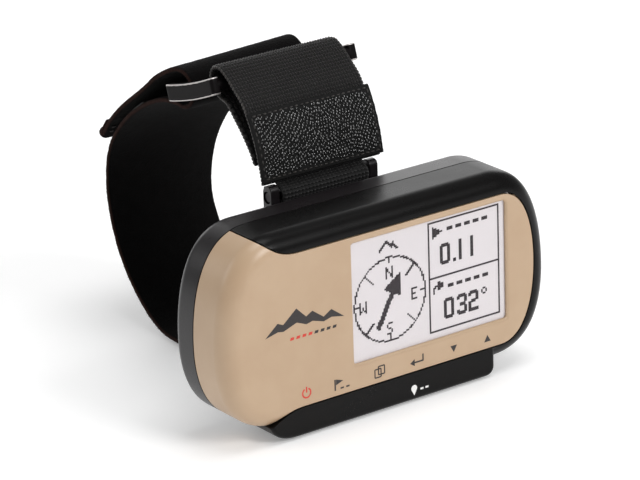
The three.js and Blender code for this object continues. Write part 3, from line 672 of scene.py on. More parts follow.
def make_bumper():
    reach = 5
    panel = plate(panel_outline(GAP / 2), FACE_Y - reach, SEAM_FRONT + reach)
    bar = plate(bar_outline(), FACE_Y, SEAM_FRONT + reach, 0.9, 0, 5)
    bar = cut(bar, brick((-60, SEAM_FRONT, -5), (60, 60, 60)))
    bar = cut(bar, plate(case_outline(WALL), FACE_Y + WALL, SEAM_FRONT + 2, CAVITY_ROUND, 0, 5))
    shell = cut(join(front_shell(), bar), panel)
    holes = [key_post(name, 0.15, -1, BOTTOM + WALL + 1) for name in KEY_NAMES]
    screw_room = posts(POST_RADIUS + GAP, FACE_Y + WALL - 0.8, SEAM_FRONT + 1)
    shell = cut(shell, key_gallery(), *holes, display_pocket(), *screw_room)
    piece("bumper_band", shell, "case", RUBBER, ["bumper"], soften=0.12)


KEY_NAMES = [name for name in frame["bodies"] if name.startswith("key_")]


def key_post(name, grow, low, high, rounding=0.0):
    """A key's upright block, its rounded end downwards."""
    a, b = node_box(name)
    reach = 0.6  # how far the flange stands out
    x, y = (a.x + b.x) / 2, (a.y + b.y) / 2
    half_x, half_y = (b.x - a.x) / 2 - reach + grow, (b.y - a.y) / 2 - reach + grow
    post = plate(rounded_box(0, 0, half_x, half_y, 1.2 + grow), low, high, rounding, 0, 4)
    turn(post, 90, "X")
    shift(post, (x, y, 0))
    return post


def make_keys():
    for name in KEY_NAMES:
        low, high = node_box(name)
        flange = brick((low.x, low.y, high.z - 0.7), high)
        key = join(key_post(name, 0, low.z, high.z - 0.5, 0.55), flange)
        piece(name + "_cap", key, name, KEY_RUBBER, [name], soften=0.06)


def bulge(grow, front, back, rounding=0.0):
    """The battery bay's block with the round ear that its screw goes through."""
    outline = rounded_box(0, MID_Z, BULGE_HALF_X + grow, BULGE_HALF_Z + grow, 4 + grow)
    box = plate(outline, front, back, 0, rounding, 5)
    reach = DOOR_HIGH.x - SCREW_X + grow
    ear = rounded_box(SCREW_X - 4, MID_Z, reach + 4, reach, 0.85 * reach)
    return join(box, plate(ear, front, back, 0, rounding, 5))


def lug(x, pin_z, sign):
    """An ear that holds one end of a strap pin, its rims rounded."""
    back, front = PIN_Y + 1.5, PIN_Y - 1.5
    tip = pin_z + sign * 2.5
    outline = [(RIM_BACK - 1.2, pin_z - sign * 6), (back, pin_z - sign * 4), (back, tip - sign * 1.3)]
    outline += [(back - 0.35, tip - sign * 0.35), (back - 1.2, tip), (front + 1.0, tip)]
    outline += [(front + 0.3, tip - sign * 0.3), (front, tip - sign * 1.0), (front, pin_z - sign * 2.2)]
    outline += [(front - 0.5, pin_z - sign * 1.4), (front - 1.6, pin_z - sign * 0.8)]
    outline += [(RIM_BACK - 1.2, pin_z - sign * 0.4)]
    block = plate(outline, -1.1, 1.1, 0.35, 0.35, 3)
    place = Matrix(((0, 1, 0, x), (1, 0, 0, 0), (0, 0, 1, 0), (0, 0, 0, 1)))
    bmesh.ops.transform(block, matrix=place, verts=block.verts[:])
    bmesh.ops.recalc_face_normals(block, faces=block.faces[:])
    return block


def make_rear():
    outer = plate(case_outline(), SEAM_BACK, RIM_BACK, 0, REAR_ROUND, 9)
    shell = cut(outer, plate(case_outline(WALL), SEAM_BACK - 2, RIM_BACK - WALL, 0, REAR_ROUND - WALL, 4))
    middle = TAB_WIDTH / 2 + GAP + 1.1
    pins = ((UPPER_PIN_Z, 1), (LOWER_PIN_Z, -1))
    ears = [lug(side * middle, z, sign) for z, sign in pins for side in (-1, 1)]
    pillars = posts(POST_RADIUS, SEAM_BACK, RIM_BACK - WALL + 0.4)
    shell = join(shell, bulge(0, BAY_FLOOR_Y - 1.2, BAY_RIM_Y), *pillars, *ears)
    bay = plate(rounded_box(0, MID_Z, BAY_HALF_X, BAY_HALF_Z, 2.5), BAY_FLOOR_Y, BAY_RIM_Y + 3)
    seats = posts(2.1, RIM_BACK - 1.7, RIM_BACK + 1)
    hole = rod(DOOR_BORE, 10, 24, SCREW_X, MID_Z, 28)
    shell = cut(shell, bay, *posts(POST_BORE, SEAM_BACK - 1, RIM_BACK + 1), *seats, hole)
    for z, _ in pins:
        pin = rod(1.3, PIN_LOW.x - GAP, PIN_HIGH.x + GAP)
        turn(pin, -90, "Z")
        shift(pin, (0, PIN_Y, z))
        shell = cut(shell, pin)
    seal = node_box("case_seal")
    groove = cut(plate(case_outline(0.38), SEAM_BACK - 1, seal[1].y + 0.12), plate(case_outline(1.22), 0, 20))
    shell = cut(shell, groove)
    piece("rear_shell", shell, "case", SHELL, ["rear_case"], soften=0.15)


def make_door():
    door = bulge(0, DOOR_LOW.y, DOOR_HIGH.y, 1.0)
    hole, seat = rod(DOOR_BORE, 10, 24, SCREW_X, MID_Z, 28), rod(2.8, DOOR_HIGH.y - 0.9, 24, SCREW_X, MID_Z)
    door = cut(door, hole, seat)
    for i in range(6):
        groove = rounded_box(-BULGE_HALF_X + 4.5 + 1.9 * i, MID_Z, 0.5, 6.5, 0.48, 5)
        door = cut(door, plate(groove, DOOR_HIGH.y - 0.45, DOOR_HIGH.y + 1))
    frame_outer = rounded_box(5.5, MID_Z, 15.5, BULGE_HALF_Z - 3, 2.4)
    frame_inner = rounded_box(5.5, MID_Z, 14.9, BULGE_HALF_Z - 3.6, 1.9)
    line = cut(plate(frame_outer, DOOR_HIGH.y - 0.25, DOOR_HIGH.y + 1), plate(frame_inner, 0, 40))
    piece("door_cover", cut(door, line), "door", SHELL, ["battery_door"], soften=0.1)


def screw(x, z, tip, head_back, head_radius, shank_radius, head_depth, recess):
    """A turned screw with a slightly domed head and its recess cut out."""
    head_front = head_back - head_depth
    profile = [(0, tip), (0.6 * shank_radius, tip), (shank_radius, tip + 0.5), (shank_radius, head_front)]
    profile += [(head_radius, head_front), (head_radius, head_back - 0.25)]
    profile += [(head_radius - 0.25, head_back - 0.05), (0.5 * head_radius, head_back), (0, head_back)]
    return cut(turned(profile, x, z, 44), *recess)


def make_screws():
    for i, (x, z) in enumerate(SCREW_PLACES, 1):
        low, high = node_box(f"case_screw_{i}")
        depth = high.y - 0.6
        arms = ((1.2, 0.26), (0.26, 1.2))
        cross = [brick((x - a, depth, z - b), (x + a, high.y + 1, z + b)) for a, b in arms]
        made = screw(x, z, low.y, high.y, 1.8, 1.0, 1.0, cross)
        piece(f"case_screw_{i}_turned", made, "case", STEEL, [f"case_screw_{i}"])
    back = SCREW_HIGH.y
    slot = [brick((SCREW_X - 4, back - 0.45, MID_Z - 0.45), (SCREW_X + 4, back + 1, MID_Z + 0.45))]
    made = screw(SCREW_X, MID_Z, SCREW_LOW.y, back, 2.6, 1.3, 0.65, slot)
    piece("door_screw_turned", made, "door_screw", STEEL, ["door_screw"])


def make_cells():
    for name, direction in (("cell_upper", 1), ("cell_lower", -1)):
        low, high = node_box(name)
        y, z, radius = (low.y + high.y) / 2, (low.z + high.z) / 2, (high.z - low.z) / 2
        start, end = -22.25, 21.25
        profile = [
            (0, start), (radius - 0.9, start), (radius - 0.5, start + 0.15), (radius - 0.2, start + 0.1),
            (radius, start + 0.5), (radius, end - 0.5), (radius - 0.2, end - 0.1), (radius - 0.6, end),
            (radius - 0.9, end - 0.25), (2.4, end - 0.2), (1.9, end), (1.9, end + 0.8), (1.7, end + 1),
            (0, end + 1)]
        made = turned(profile, 0, 0, 48)
        turn(made, -90 * direction, "Z")
        shift(made, (0, y, z))
        finish = cell_wrap(name + "_wrap", direction)
        piece(name + "_sleeved", made, "case", finish, [name])


make_front()
make_bumper()
make_keys()
make_rear()
make_door()
make_screws()
make_cells()

# ---- Carried-over inner pieces: better finishes on their own solids ----
INNER = {
    "light_guide": WHITE, "display_tray": WHITE, "switch_strip": BOARD, "main_board": BOARD,
    "patch_antenna": CERAMIC, "shield_can": TIN, "case_seal": SEAL, "door_seal": SEAL, "contact_left": TIN,
    "contact_right": TIN, "strap_pin_upper": PIN_STEEL, "strap_pin_lower": PIN_STEEL, "lcd_panel": LCD,
}
for name, material in INNER.items():
    frame["nodes"][name].data.materials.clear()
    frame["nodes"][name].data.materials.append(material)


# ---- Display ----
def make_lens():
    outline = rounded_box(WINDOW_X, WINDOW_Z, WINDOW_HALF_X - LENS_GAP, WINDOW_HALF_Z - LENS_GAP, 0.6, 8)
    lens = plate(outline, LENS_LOW.y, LENS_HIGH.y, 0.12, 0, 2)
    piece("window_plate", lens, "case", CLEAR, ["window_lens"])


# Figures drawn in cells, for the readings and the points of the compass.
SMALL_SIGNS = {
    "N": ["#...#", "##..#", "##..#", "#.#.#", "#..##", "#..##", "#...#"],
    "E": ["####", "#...", "#...", "###.", "#...", "#...", "####"],
    "S": [".###", "#...", "#...", ".##.", "...#", "...#", "###."],
    "W": ["#...#", "#...#", "#...#", "#.#.#", "#.#.#", "##.##", "#...#"],
    "ring": [".##.", "#..#", "#..#", ".##."],
    "flag": ["#......", "###....", "#####..", "#######", "#####..", "###....", "#......"],
    "turn": ["...##..", "...####", ".######", "##.####", "#..##..", "#......", "#......"],
    "peak": ["....##.......", "...####..#...", "..##..####...", ".##....####..", "##......#.##.",
             "#..........##"],
}
BIG_SIGNS = {
    "0": [".#####.", "#######", "##...##", "##...##", "##...##", "##...##", "##...##", "##...##", "##...##",
          "##...##", "#######", ".#####."],
    "1": ["##"] * 12,
    ".": ["..", "..", "..", "..", "..", "..", "..", "..", "..", "..", "##", "##"],
    "2": [".#####.", "#######", "##...##", ".....##", ".....##", "..#####", "#####..", "##.....", "##.....",
          "##.....", "#######", "#######"],
    "3": [".#####.", "#######", "##...##", ".....##", ".....##", "..####.", "..####.", ".....##", ".....##",
          "##...##", "#######", ".#####."],
}


class Screen:
    """The display's cells, darkened by drawing on them in millimetres of the panel's own X and Z."""

    def __init__(self, x, z, columns, rows):
        self.x, self.z = x, z
        self.columns, self.rows = columns, rows
        self.dark = set()

    def spot(self, x, z):
        return round((x - self.x) / CELL - 0.5), round((z - self.z) / CELL - 0.5)

    def middle(self, column, row):
        return self.x + (column + 0.5) * CELL, self.z + (row + 0.5) * CELL

    def fill(self, test):
        """Darkens each cell whose middle passes the test."""
        for column in range(self.columns):
            for row in range(self.rows):
                if test(*self.middle(column, row)):
                    self.dark.add((column, row))

    def line(self, x0, z0, x1, z1, width=1):
        across, up = x1 - x0, z1 - z0
        length = math.hypot(across, up)
        half = width * CELL * 0.52

        def near(x, z):
            along = ((x - x0) * across + (z - z0) * up) / length
            aside = ((x - x0) * up - (z - z0) * across) / length
            return -0.3 * CELL <= along <= length + 0.3 * CELL and abs(aside) <= half

        self.fill(near)

    def sign(self, rows, x, z):
        """Draws a figure whose lower left corner is at x, z, and gives where it ends."""
        column, row = self.spot(x, z)
        for up, cells in enumerate(reversed(rows)):
            for across, cell in enumerate(cells):
                if cell == "#":
                    self.dark.add((column + across, row + up))
        return x + (len(rows[0]) + 1.4) * CELL

    def solid(self, front, back):
        """Each unbroken run of dark cells in a row as one thin bar."""
        bars = []
        for row in range(self.rows):
            column = 0
            while column < self.columns:
                start = column
                while (column, row) in self.dark:
                    column += 1
                if column > start:
                    low = (self.x + start * CELL, front, self.z + row * CELL)
                    high = (self.x + column * CELL, back, self.z + (row + 1) * CELL)
                    bars.append((low, high))
                column += 1
        bm = bmesh.new()
        for low, high in bars:
            size = Matrix.Diagonal([b - a for a, b in zip(low, high)] + [1])
            place = Matrix.Translation([(a + b) / 2 for a, b in zip(low, high)])
            bmesh.ops.create_cube(bm, size=1, matrix=place @ size)
        return bm


def make_screen():
    screen = Screen(WINDOW_X - 52 * CELL, WINDOW_Z - 34 * CELL, 104, 68)
    centre_x, centre_z, radius = WINDOW_X - 9.95, MID_Z, 9.0
    screen.fill(lambda x, z: abs(math.hypot(x - centre_x, z - centre_z) - radius) < 0.5 * CELL)
    for angle in range(0, 360, 45):
        tick = 3.0 if angle % 90 else 1.2
        reach = Vector((math.cos(math.radians(angle)), math.sin(math.radians(angle))))
        a, b = reach * (radius - tick), reach * radius
        screen.line(centre_x + a.x, centre_z + a.y, centre_x + b.x, centre_z + b.y)
    for sign, x, z in (("N", -0.95, 4.6), ("E", 5.7, -1.3), ("S", -0.75, -7.6), ("W", -7.6, -1.3)):
        screen.sign(SMALL_SIGNS[sign], centre_x + x, centre_z + z)
    tail, tip = Vector((centre_x - 3.2, centre_z - 5.9)), Vector((centre_x + 2.8, centre_z + 5.2))
    ahead = (tip - tail).normalized()
    neck = tip - ahead * 4.4
    screen.line(*tail, *neck, 3)

    def in_head(x, z):
        along = (Vector((x, z)) - tip).dot(-ahead)
        aside = abs((x - tip.x) * ahead.y - (z - tip.y) * ahead.x)
        return 0 <= along <= 4.6 and aside <= along * 0.52 + 0.1

    screen.fill(in_head)
    left, right, low, high, divide = WINDOW_X + 0.1, WINDOW_X + 18.4, MID_Z - 10.1, MID_Z + 13.8, MID_Z + 1.6
    for x in (left, right):
        screen.line(x, low, x, high)
    for z in (low, divide, high):
        screen.line(left, z, right, z)
    for figure, x in (("0", 3.4), (".", 6.5), ("1", 8.2), ("1", 11.2)):
        screen.sign(BIG_SIGNS[figure], WINDOW_X + x, MID_Z + 4.3)
    x = WINDOW_X + 4.1
    for figure in "032":
        x = screen.sign(BIG_SIGNS[figure], x, MID_Z - 8.0)
    screen.sign(SMALL_SIGNS["ring"], x + 0.1, MID_Z - 4.7)
    for sign, z in (("flag", MID_Z + 10.4), ("turn", MID_Z - 1.9)):
        screen.sign(SMALL_SIGNS[sign], WINDOW_X + 1.2, z)
        for i in range(5):
            dash = WINDOW_X + 5.0 + 2.3 * i
            screen.line(dash, z + 1.2, dash + 1.3, z + 1.2, 2)
    screen.sign(SMALL_SIGNS["peak"], centre_x - 2.4, MID_Z + 10.6)
    ink = screen.solid(LCD_LOW.y - 0.03, LCD_LOW.y + 0.01)
    piece("display_readings", ink, "case", LCD_INK, weighted=False)


make_lens()
make_screen()


# ---- Printed signs on the panel and the key bar ----
def stroke(points, width):
    """A line of even width through the points, as an outline with round ends."""
    half = width / 2
    left, right = [], []
    for i, (x, z) in enumerate(points):
        before, after = points[max(i - 1, 0)], points[min(i + 1, len(points) - 1)]
        along = Vector((after[0] - before[0], after[1] - before[1])).normalized()
        left.append((x - along.y * half, z + along.x * half))
        right.append((x + along.y * half, z - along.x * half))
    return left + right[::-1]


def printed(name, outlines, material, front=FACE_Y):
    """Thin flat shapes on the face."""
    layers = [plate(outline, front - 0.012, front + 0.02) for outline in outlines]
    piece(name, put_together(layers), "case", material, weighted=False)


def ridge(x, z, width, height):
    """A mountain ridge as a dark band that is thick below its peaks and thin at its feet."""
    steps = (
        (0, 0), (0.16, 0.55), (0.23, 0.42), (0.4, 1), (0.52, 0.5), (0.6, 0.68), (0.74, 0.25), (0.84, 0.5),
        (1, 0))
    top = [(x + a * width, z + b * height) for a, b in steps]
    return top + [(x + a * width, z + b * height * 0.42 - 0.35) for a, b in reversed(steps[1:-1])]


LEGEND_Z = MID_Z - 14.7


def legend_signs():
    """Dark signs over the keys: a pennant, two sheets, a return arrow, and the down and up arrows."""
    sheets = []
    for x, z in ((-1.1, -0.9), (-0.35, -0.45)):
        corners = [(x, z), (x + 1.3, z), (x + 1.3, z + 1.5), (x, z + 1.5), (x, z)]
        sheets += [stroke([a, b], 0.24) for a, b in zip(corners, corners[1:])]
    pennant = [stroke([(-1.5, -0.9), (-1.5, 1.1)], 0.3), [(-1.3, 0.05), (0.2, 0.6), (-1.3, 1.1)]]
    pennant += [stroke([(x, -0.7), (x + 0.7, -0.7)], 0.3) for x in (-0.4, 0.8)]
    enter = [stroke([(1.3, 0.9), (1.3, -0.3)], 0.3), stroke([(1.42, -0.3), (-0.6, -0.3)], 0.3)]
    enter += [[(-1.5, -0.3), (-0.5, -0.95), (-0.5, 0.35)]]
    down, up = [(-0.72, 0.62), (0, -0.62), (0.72, 0.62)], [(-0.72, -0.62), (0.72, -0.62), (0, 0.62)]
    signs = ((-13.0, pennant), (-3.4, sheets), (6.1, enter), (15.7, [down]), (24.6, [up]))
    size = 1.2
    placed = [(x, outline) for x, group in signs for outline in group]
    return [[(x + size * a, LEGEND_Z + size * b) for a, b in outline] for x, outline in placed]


def make_printing():
    badge_x, badge_z, badge_width = -31.5, MID_Z - 0.2, 19.5
    printed("panel_ridge_badge", [ridge(badge_x, badge_z, badge_width, 4.6)], INK_DARK)
    trail_z = badge_z - 1.9
    dash = ((6, 0), (6.9, 0), (7.1, 0.6), (6.2, 0.6))
    trail = [[(badge_x + x + 1.5 * i, trail_z + z) for x, z in dash] for i in range(8)]
    printed("panel_trail_red", trail[:4], INK_RED)
    printed("panel_trail_dark", trail[4:], INK_DARK)
    printed("key_signs", legend_signs(), INK_DARK)
    x, z, radius = -21.9, LEGEND_Z + 0.4, 1.0
    ring = arc(x, z, radius, 118, 422, 28)
    power = [stroke(ring, 0.34), stroke([(x, z + 0.1), (x, z + 1.35)], 0.34)]
    printed("power_sign", power, INK_RED)
    drop_x, drop_z = 5.2, 2.7
    drop = arc(drop_x, drop_z, 0.75, -35, 215, 20) + [(drop_x, drop_z - 1.55)]
    dashes = [stroke([(drop_x + 1.6 + 1.3 * i, drop_z - 0.5), (drop_x + 2.4 + 1.3 * i, drop_z - 0.5)], 0.42)
              for i in range(2)]
    printed("mark_sign", [drop] + dashes, INK_WHITE)


make_printing()


# ---- Bent strips ----
def curve_point(points, t):
    """A point of a smooth curve through the points, spaced by the root of their distances."""
    place = t * (len(points) - 1)
    i = min(int(place), len(points) - 2)
    t = place - i
    b, c = points[i], points[i + 1]
    a = points[i - 1] if i else b * 2 - c
    d = points[i + 2] if i + 2 < len(points) else c * 2 - b
    gap_a, gap_b, gap_c = [max((q - p).length, 1e-6) ** 0.5 for p, q in ((a, b), (b, c), (c, d))]
    start = ((b - a) / gap_a - (c - a) / (gap_a + gap_b) + (c - b) / gap_b) * gap_b
    end = ((c - b) / gap_b - (d - b) / (gap_b + gap_c) + (d - c) / gap_c) * gap_b
    square, cube = b * -3 + c * 3 - start * 2 - end, b * 2 - c * 2 + start + end
    return b + start * t + square * t ** 2 + cube * t ** 3


class Strip:
    """A strip bent along two edges. Flat shapes are drawn on it with x across from its middle, y along
    it and z off its surface, away from the loop's inside, all in millimetres."""

    def __init__(self, left, right, width, out=1, samples=500):
        sides = ((-width / 2, left), (width / 2, right))
        edges = [[Vector((x, *point)) for point in edge] for x, edge in sides]
        self.width, self.out = width, out
        self.left, self.right = [[curve_point(e, i / samples) for i in range(samples + 1)] for e in edges]
        self.along = [0.0]
        middles = [(a + b) / 2 for a, b in zip(self.left, self.right)]
        for a, b in zip(middles, middles[1:]):
            self.along.append(self.along[-1] + (b - a).length)
        self.length = self.along[-1]

    def at(self, x, y, z):
        i = min(max(bisect.bisect_right(self.along, y) - 1, 0), len(self.along) - 2)
        t = (y - self.along[i]) / (self.along[i + 1] - self.along[i])
        share = x / self.width + 0.5
        before, after = [self.left[k].lerp(self.right[k], share) for k in (i, i + 1)]
        side = (self.right[i] - self.left[i]).normalized()
        lows, highs = max(i - 1, 0), min(i + 2, len(self.along) - 1)
        behind, ahead = [self.left[k].lerp(self.right[k], share) for k in (lows, highs)]
        ahead = ahead - behind
        normal = ahead.cross(side).normalized() * self.out
        return before.lerp(after, t) + normal * z

    def wrap(self, bm):
        """Lays a flat shape on the strip, keeping its flat place as its UV map."""
        layer = bm.loops.layers.uv.new("UVMap")
        for face in bm.faces:
            for loop in face.loops:
                loop[layer].uv = loop.vert.co.xy
        for vert in bm.verts:
            vert.co = self.at(*vert.co)
        bmesh.ops.recalc_face_normals(bm, faces=bm.faces[:])
        return bm

    def piece(self, name, bm, slot, material, replaces=(), crease=80):
        """A flat shape laid on the strip, as a piece that rides with the case."""
        return piece(name, self.wrap(bm), "case", material, replaces, crease, weighted=False)


def ribbon(width, start, end, thickness, across, along, rounding=0.3, level=0.0):
    """A flat strip of even cells with rounded rims, lying about z = level."""
    bm = bmesh.new()
    bmesh.ops.create_grid(bm, x_segments=across, y_segments=along, size=0.5)
    bmesh.ops.scale(bm, verts=bm.verts[:], vec=(width, end - start, 1))
    shift(bm, (0, (start + end) / 2, level - thickness / 2))
    thicken(bm, (0, 0, thickness))
    rims = [e for e in bm.edges if len(e.link_faces) == 2 and e.calc_face_angle() > 1]
    round_edges(bm, rims, rounding * thickness, 2)
    return bm


def add_bead(bm, x, y, z, half_x, half_y, half_z, angle=0.0):
    place = Matrix.Translation((x, y, z)) @ Matrix.Rotation(angle, 4, "Z")
    place = place @ Matrix.Diagonal((half_x, half_y, half_z, 1))
    bmesh.ops.create_icosphere(bm, subdivisions=1, radius=1, matrix=place)


def beaded(width, start, end, pitch_x, pitch_y, half, level, stagger=0.5):
    """Yarn floats in columns over a strip, every second column shifted by a share of the pitch."""
    bm = bmesh.new()
    columns = int(width / pitch_x)
    for column in range(columns):
        x = (column + 0.5 - columns / 2) * pitch_x
        add_bead(bm, x, start + pitch_y * (0.5 + stagger * (column % 2)), level, *half)
    row = bm.verts[:] + bm.edges[:] + bm.faces[:]
    for i in range(1, int((end - start) / pitch_y)):
        copy = bmesh.ops.duplicate(bm, geom=row)["geom"]
        verts = [v for v in copy if isinstance(v, bmesh.types.BMVert)]
        bmesh.ops.translate(bm, verts=verts, vec=(0, i * pitch_y, 0))
    for vert in bm.verts:
        vert.co.z += 0.05 * noise.noise(vert.co * 0.35)
    return bm


def stitches(line, level, pitch=1.5, length=1.1):
    """Stitches laid end to end along a line of (x, y) points."""
    bm = bmesh.new()
    for (x0, y0), (x1, y1) in zip(line, line[1:]):
        run = math.hypot(x1 - x0, y1 - y0)
        angle = math.atan2(y1 - y0, x1 - x0)
        count = max(int(run / pitch), 1)
        for i in range(count):
            share = (i + 0.5) / count
            place = (x0 + (x1 - x0) * share, y0 + (y1 - y0) * share, level)
            add_bead(bm, *place, length / 2, 0.2, 0.16, angle + random.uniform(-0.06, 0.06))
    return bm


# ---- Upper strap, patch and tabs ----
SHIFT_Y, SHIFT_Z = PIN_Y - 19.15, UPPER_PIN_Z - 42.5
SHORT_LINE = [
    (18.8, 45.4), (19.7, 49.5), (21.2, 54.5), (23.3, 58.8), (25.2, 61.6), (27.7, 63.7),
    (30.6, 66.0), (33.1, 67.2), (35.2, 66.6), (36.0, 64.6), (35.1, 62.4), (33.0, 61.0),
    (30.5, 60.2), (28.1, 57.8), (25.5, 55.1), (22.6, 51.4), (21.3, 49.0),
]
SHORT_LINE = [(y + SHIFT_Y, z + SHIFT_Z) for y, z in SHORT_LINE]


def make_short_strap():
    strip = Strip(SHORT_LINE, SHORT_LINE, WEBBING_WIDTH, out=-1)
    width = WEBBING_WIDTH - 0.8
    core = ribbon(width - 0.2, 0.05, strip.length - 0.05, 0.56, 24, 90)
    floats = beaded(width, 0.2, strip.length - 0.2, 0.68, 0.85, (0.27, 0.38, 0.27), 0.29, 0.12)
    back = beaded(width, 0.2, strip.length - 0.2, 0.96, 1.5, (0.4, 0.75, 0.2), -0.29)
    cloth = strip.piece("short_webbing", core, "black_webbing", GROUND, ["short_strap"])
    on_it = [strip.piece("webbing_floats", put_together([floats, back]), "black_webbing", WEBBING)]
    for side in (-1, 1):
        edge = bmesh.new()
        for i in range(int(strip.length / 0.8)):
            add_bead(edge, side * (width / 2 - 0.1), 0.5 + 0.8 * i, 0, 0.24, 0.5, 0.42, side * 0.3)
        name = "webbing_selvedge_" + ("left" if side < 0 else "right")
        on_it.append(strip.piece(name, edge, "black_webbing", THREAD))


def make_patch():
    """The hide patch: small pebbles in a swirl, a rolled rim and a line of stitches inside it."""
    low, high = node_box("strap_patch")
    strip = Strip(SHORT_LINE, SHORT_LINE, WEBBING_WIDTH, out=-1)
    start, end, width = 0.5, 14.9, high.x - low.x
    level = 0.5 + 0.12 + 0.25

    def wave(x, y):
        return 0.12 * noise.noise(Vector((x * 0.16, y * 0.2, 8)))

    skin = ribbon(width, start, end, 0.5, 60, 30, 0.4, level)
    for vert in skin.verts:
        x, y, z = vert.co
        if z > level:
            vert.co.z += wave(x, y)
        if abs(x) > width / 2 - 0.4:
            vert.co.x += 0.12 * noise.noise(Vector((y * 0.9, 2, x)))
    patch = strip.piece("hide_patch", skin, "patch_hide", HIDE, ["strap_patch"])
    centre = Vector((4.5, (start + end) / 2 + 1))
    pebbles = bmesh.new()
    for column in range(-44, 45):
        for row in range(-30, 31):
            spot = Vector((column * 0.68 + 0.34 * (row % 2), row * 0.66))
            swirl = 0.55 + 1.1 * math.exp(-spot.length / 9)
            spot = centre + Matrix.Rotation(swirl, 2) @ spot
            x, y = spot.x + random.uniform(-0.17, 0.17), spot.y + random.uniform(-0.17, 0.17)
            if min(width / 2 - abs(x), y - start, end - y) > 1.2:
                size, lift = random.uniform(0.7, 1.15), random.uniform(0.2, 0.36)
                tilt = swirl + random.uniform(-0.7, 0.7)
                add_bead(pebbles, x, y, level + lift + wave(x, y), 0.4 * size, 0.25 * size, 0.3 * size, tilt)
    domes = strip.piece("patch_pebbles", pebbles, "patch_hide", HIDE_DOMES)
    x, low_y, high_y = width / 2 - 0.8, start + 0.8, end - 0.8
    corners = [(-x, low_y), (x, low_y), (x, high_y), (-x, high_y), (-x, low_y)]
    seam = stitches(corners, level + 0.27, 1.3, 1.0)
    sewn = strip.piece("patch_stitching", seam, "black_webbing", THREAD)


def tab_strip(pin_z, tail_y, tail_z, width):
    """A tab's path: from its tail to the pin, round it, and back to the neck."""
    angle = math.degrees(math.atan2(tail_z - pin_z, tail_y - PIN_Y))
    ahead = Vector((math.cos(math.radians(angle)), math.sin(math.radians(angle))))
    pin = Vector((PIN_Y, pin_z))
    length = (Vector((tail_y, tail_z)) - pin).length
    points = [tuple(pin + ahead * (length + (3.0 - length) * i / 4)) for i in range(5)]
    points += arc(PIN_Y, pin_z, 1.75, angle + 38, angle + 322, 16)
    return Strip(points, points, width)


def make_tabs():
    upper = tab_strip(UPPER_PIN_Z, 21.0 + SHIFT_Y, 48.2 + SHIFT_Z, TAB_WIDTH)
    lower = tab_strip(LOWER_PIN_Z, PIN_Y + 14, 2.2, TAB_WIDTH)
    for strip, node, name in ((upper, "upper_tab", "upper_roll"), (lower, "lower_tab", "lower_roll")):
        core = ribbon(TAB_WIDTH - 0.3, 0.05, strip.length - 0.05, 0.5, 20, 60)
        ribs = beaded(TAB_WIDTH, 0.1, strip.length - 0.1, 0.9, 0.68, (0.56, 0.27, 0.28), 0.25, 0.0)
        roll = strip.piece(name, core, "black_webbing", GROUND, [node])
        raised = strip.piece(name + "_ribs", ribs, "black_webbing", RIBBED)
        "strap_pin_" + name.split("_")[0]


# ---- Ring ----
RING_PITCH = math.radians(-17.9)
RING_FRONT = Vector((0.7, 32.4 + SHIFT_Y, 63.9 + SHIFT_Z))  # its front bar, slid a little to the right
RING_SPAN = 15.6
RING_HALF_X = node_box("strap_ring")[1].x
BLACK_METAL = enamel("black_metal")


def ring_side(x):
    """A tall flat side bar, sliced along its length and across its height so that the ring can sag it a little
    in its middle.
    """
    bar = brick((x - 1.1, -1.2, -1.8), (x + 1.1, RING_SPAN + 1.2, 1.8))
    round_edges(bar, [e for e in bar.edges if abs((e.verts[0].co - e.verts[1].co).z) > 1], 0.75, 5)
    round_edges(bar, [e for e in bar.edges if abs(e.verts[0].co.z - e.verts[1].co.z) < 0.01], 0.28, 3)
    slices = [((0, -1.2 + (RING_SPAN + 2.4) * i / 24, 0), (0, 1, 0)) for i in range(1, 24)]
    slices += [((0, 0, z), (0, 0, 1)) for z in (-1.0, 0, 1.0)]
    for place, direction in slices:
        everything = bar.verts[:] + bar.edges[:] + bar.faces[:]
        bmesh.ops.bisect_plane(bar, geom=everything, plane_co=place, plane_no=direction)
    return bar


def make_ring():
    sides = [ring_side(side * (RING_HALF_X - 1.1)) for side in (-1, 1)]
    reach = RING_HALF_X - 1.6
    bars = []
    for y in (0, RING_SPAN):
        bar = rod(1.2, -reach, reach, steps=28)
        turn(bar, -90, "Z")
        shift(bar, (0, y, 0))
        bars.append(bar)
    ring = join(bars[0], bars[1], *sides)
    level = ring.verts.layers.float.new("height")
    for vert in ring.verts:
        at_end = vert.co.y > RING_SPAN + 0.95 and abs(vert.co.x) > RING_HALF_X - 0.8
        vert[level] = 1.7 if at_end else abs(vert.co.z)
        share = (vert.co.y - RING_SPAN / 2) / (RING_SPAN / 2 + 1.2)
        if abs(vert.co.x) > reach - 1:
            vert.co.z -= 0.45 * max(0.0, 1 - share ** 2)
    place = Matrix.Translation(RING_FRONT) @ Matrix.Rotation(RING_PITCH, 4, "X")
    bmesh.ops.transform(ring, matrix=place, verts=ring.verts[:])
    piece("closed_ring", ring, "ring", BLACK_METAL, ["strap_ring"])


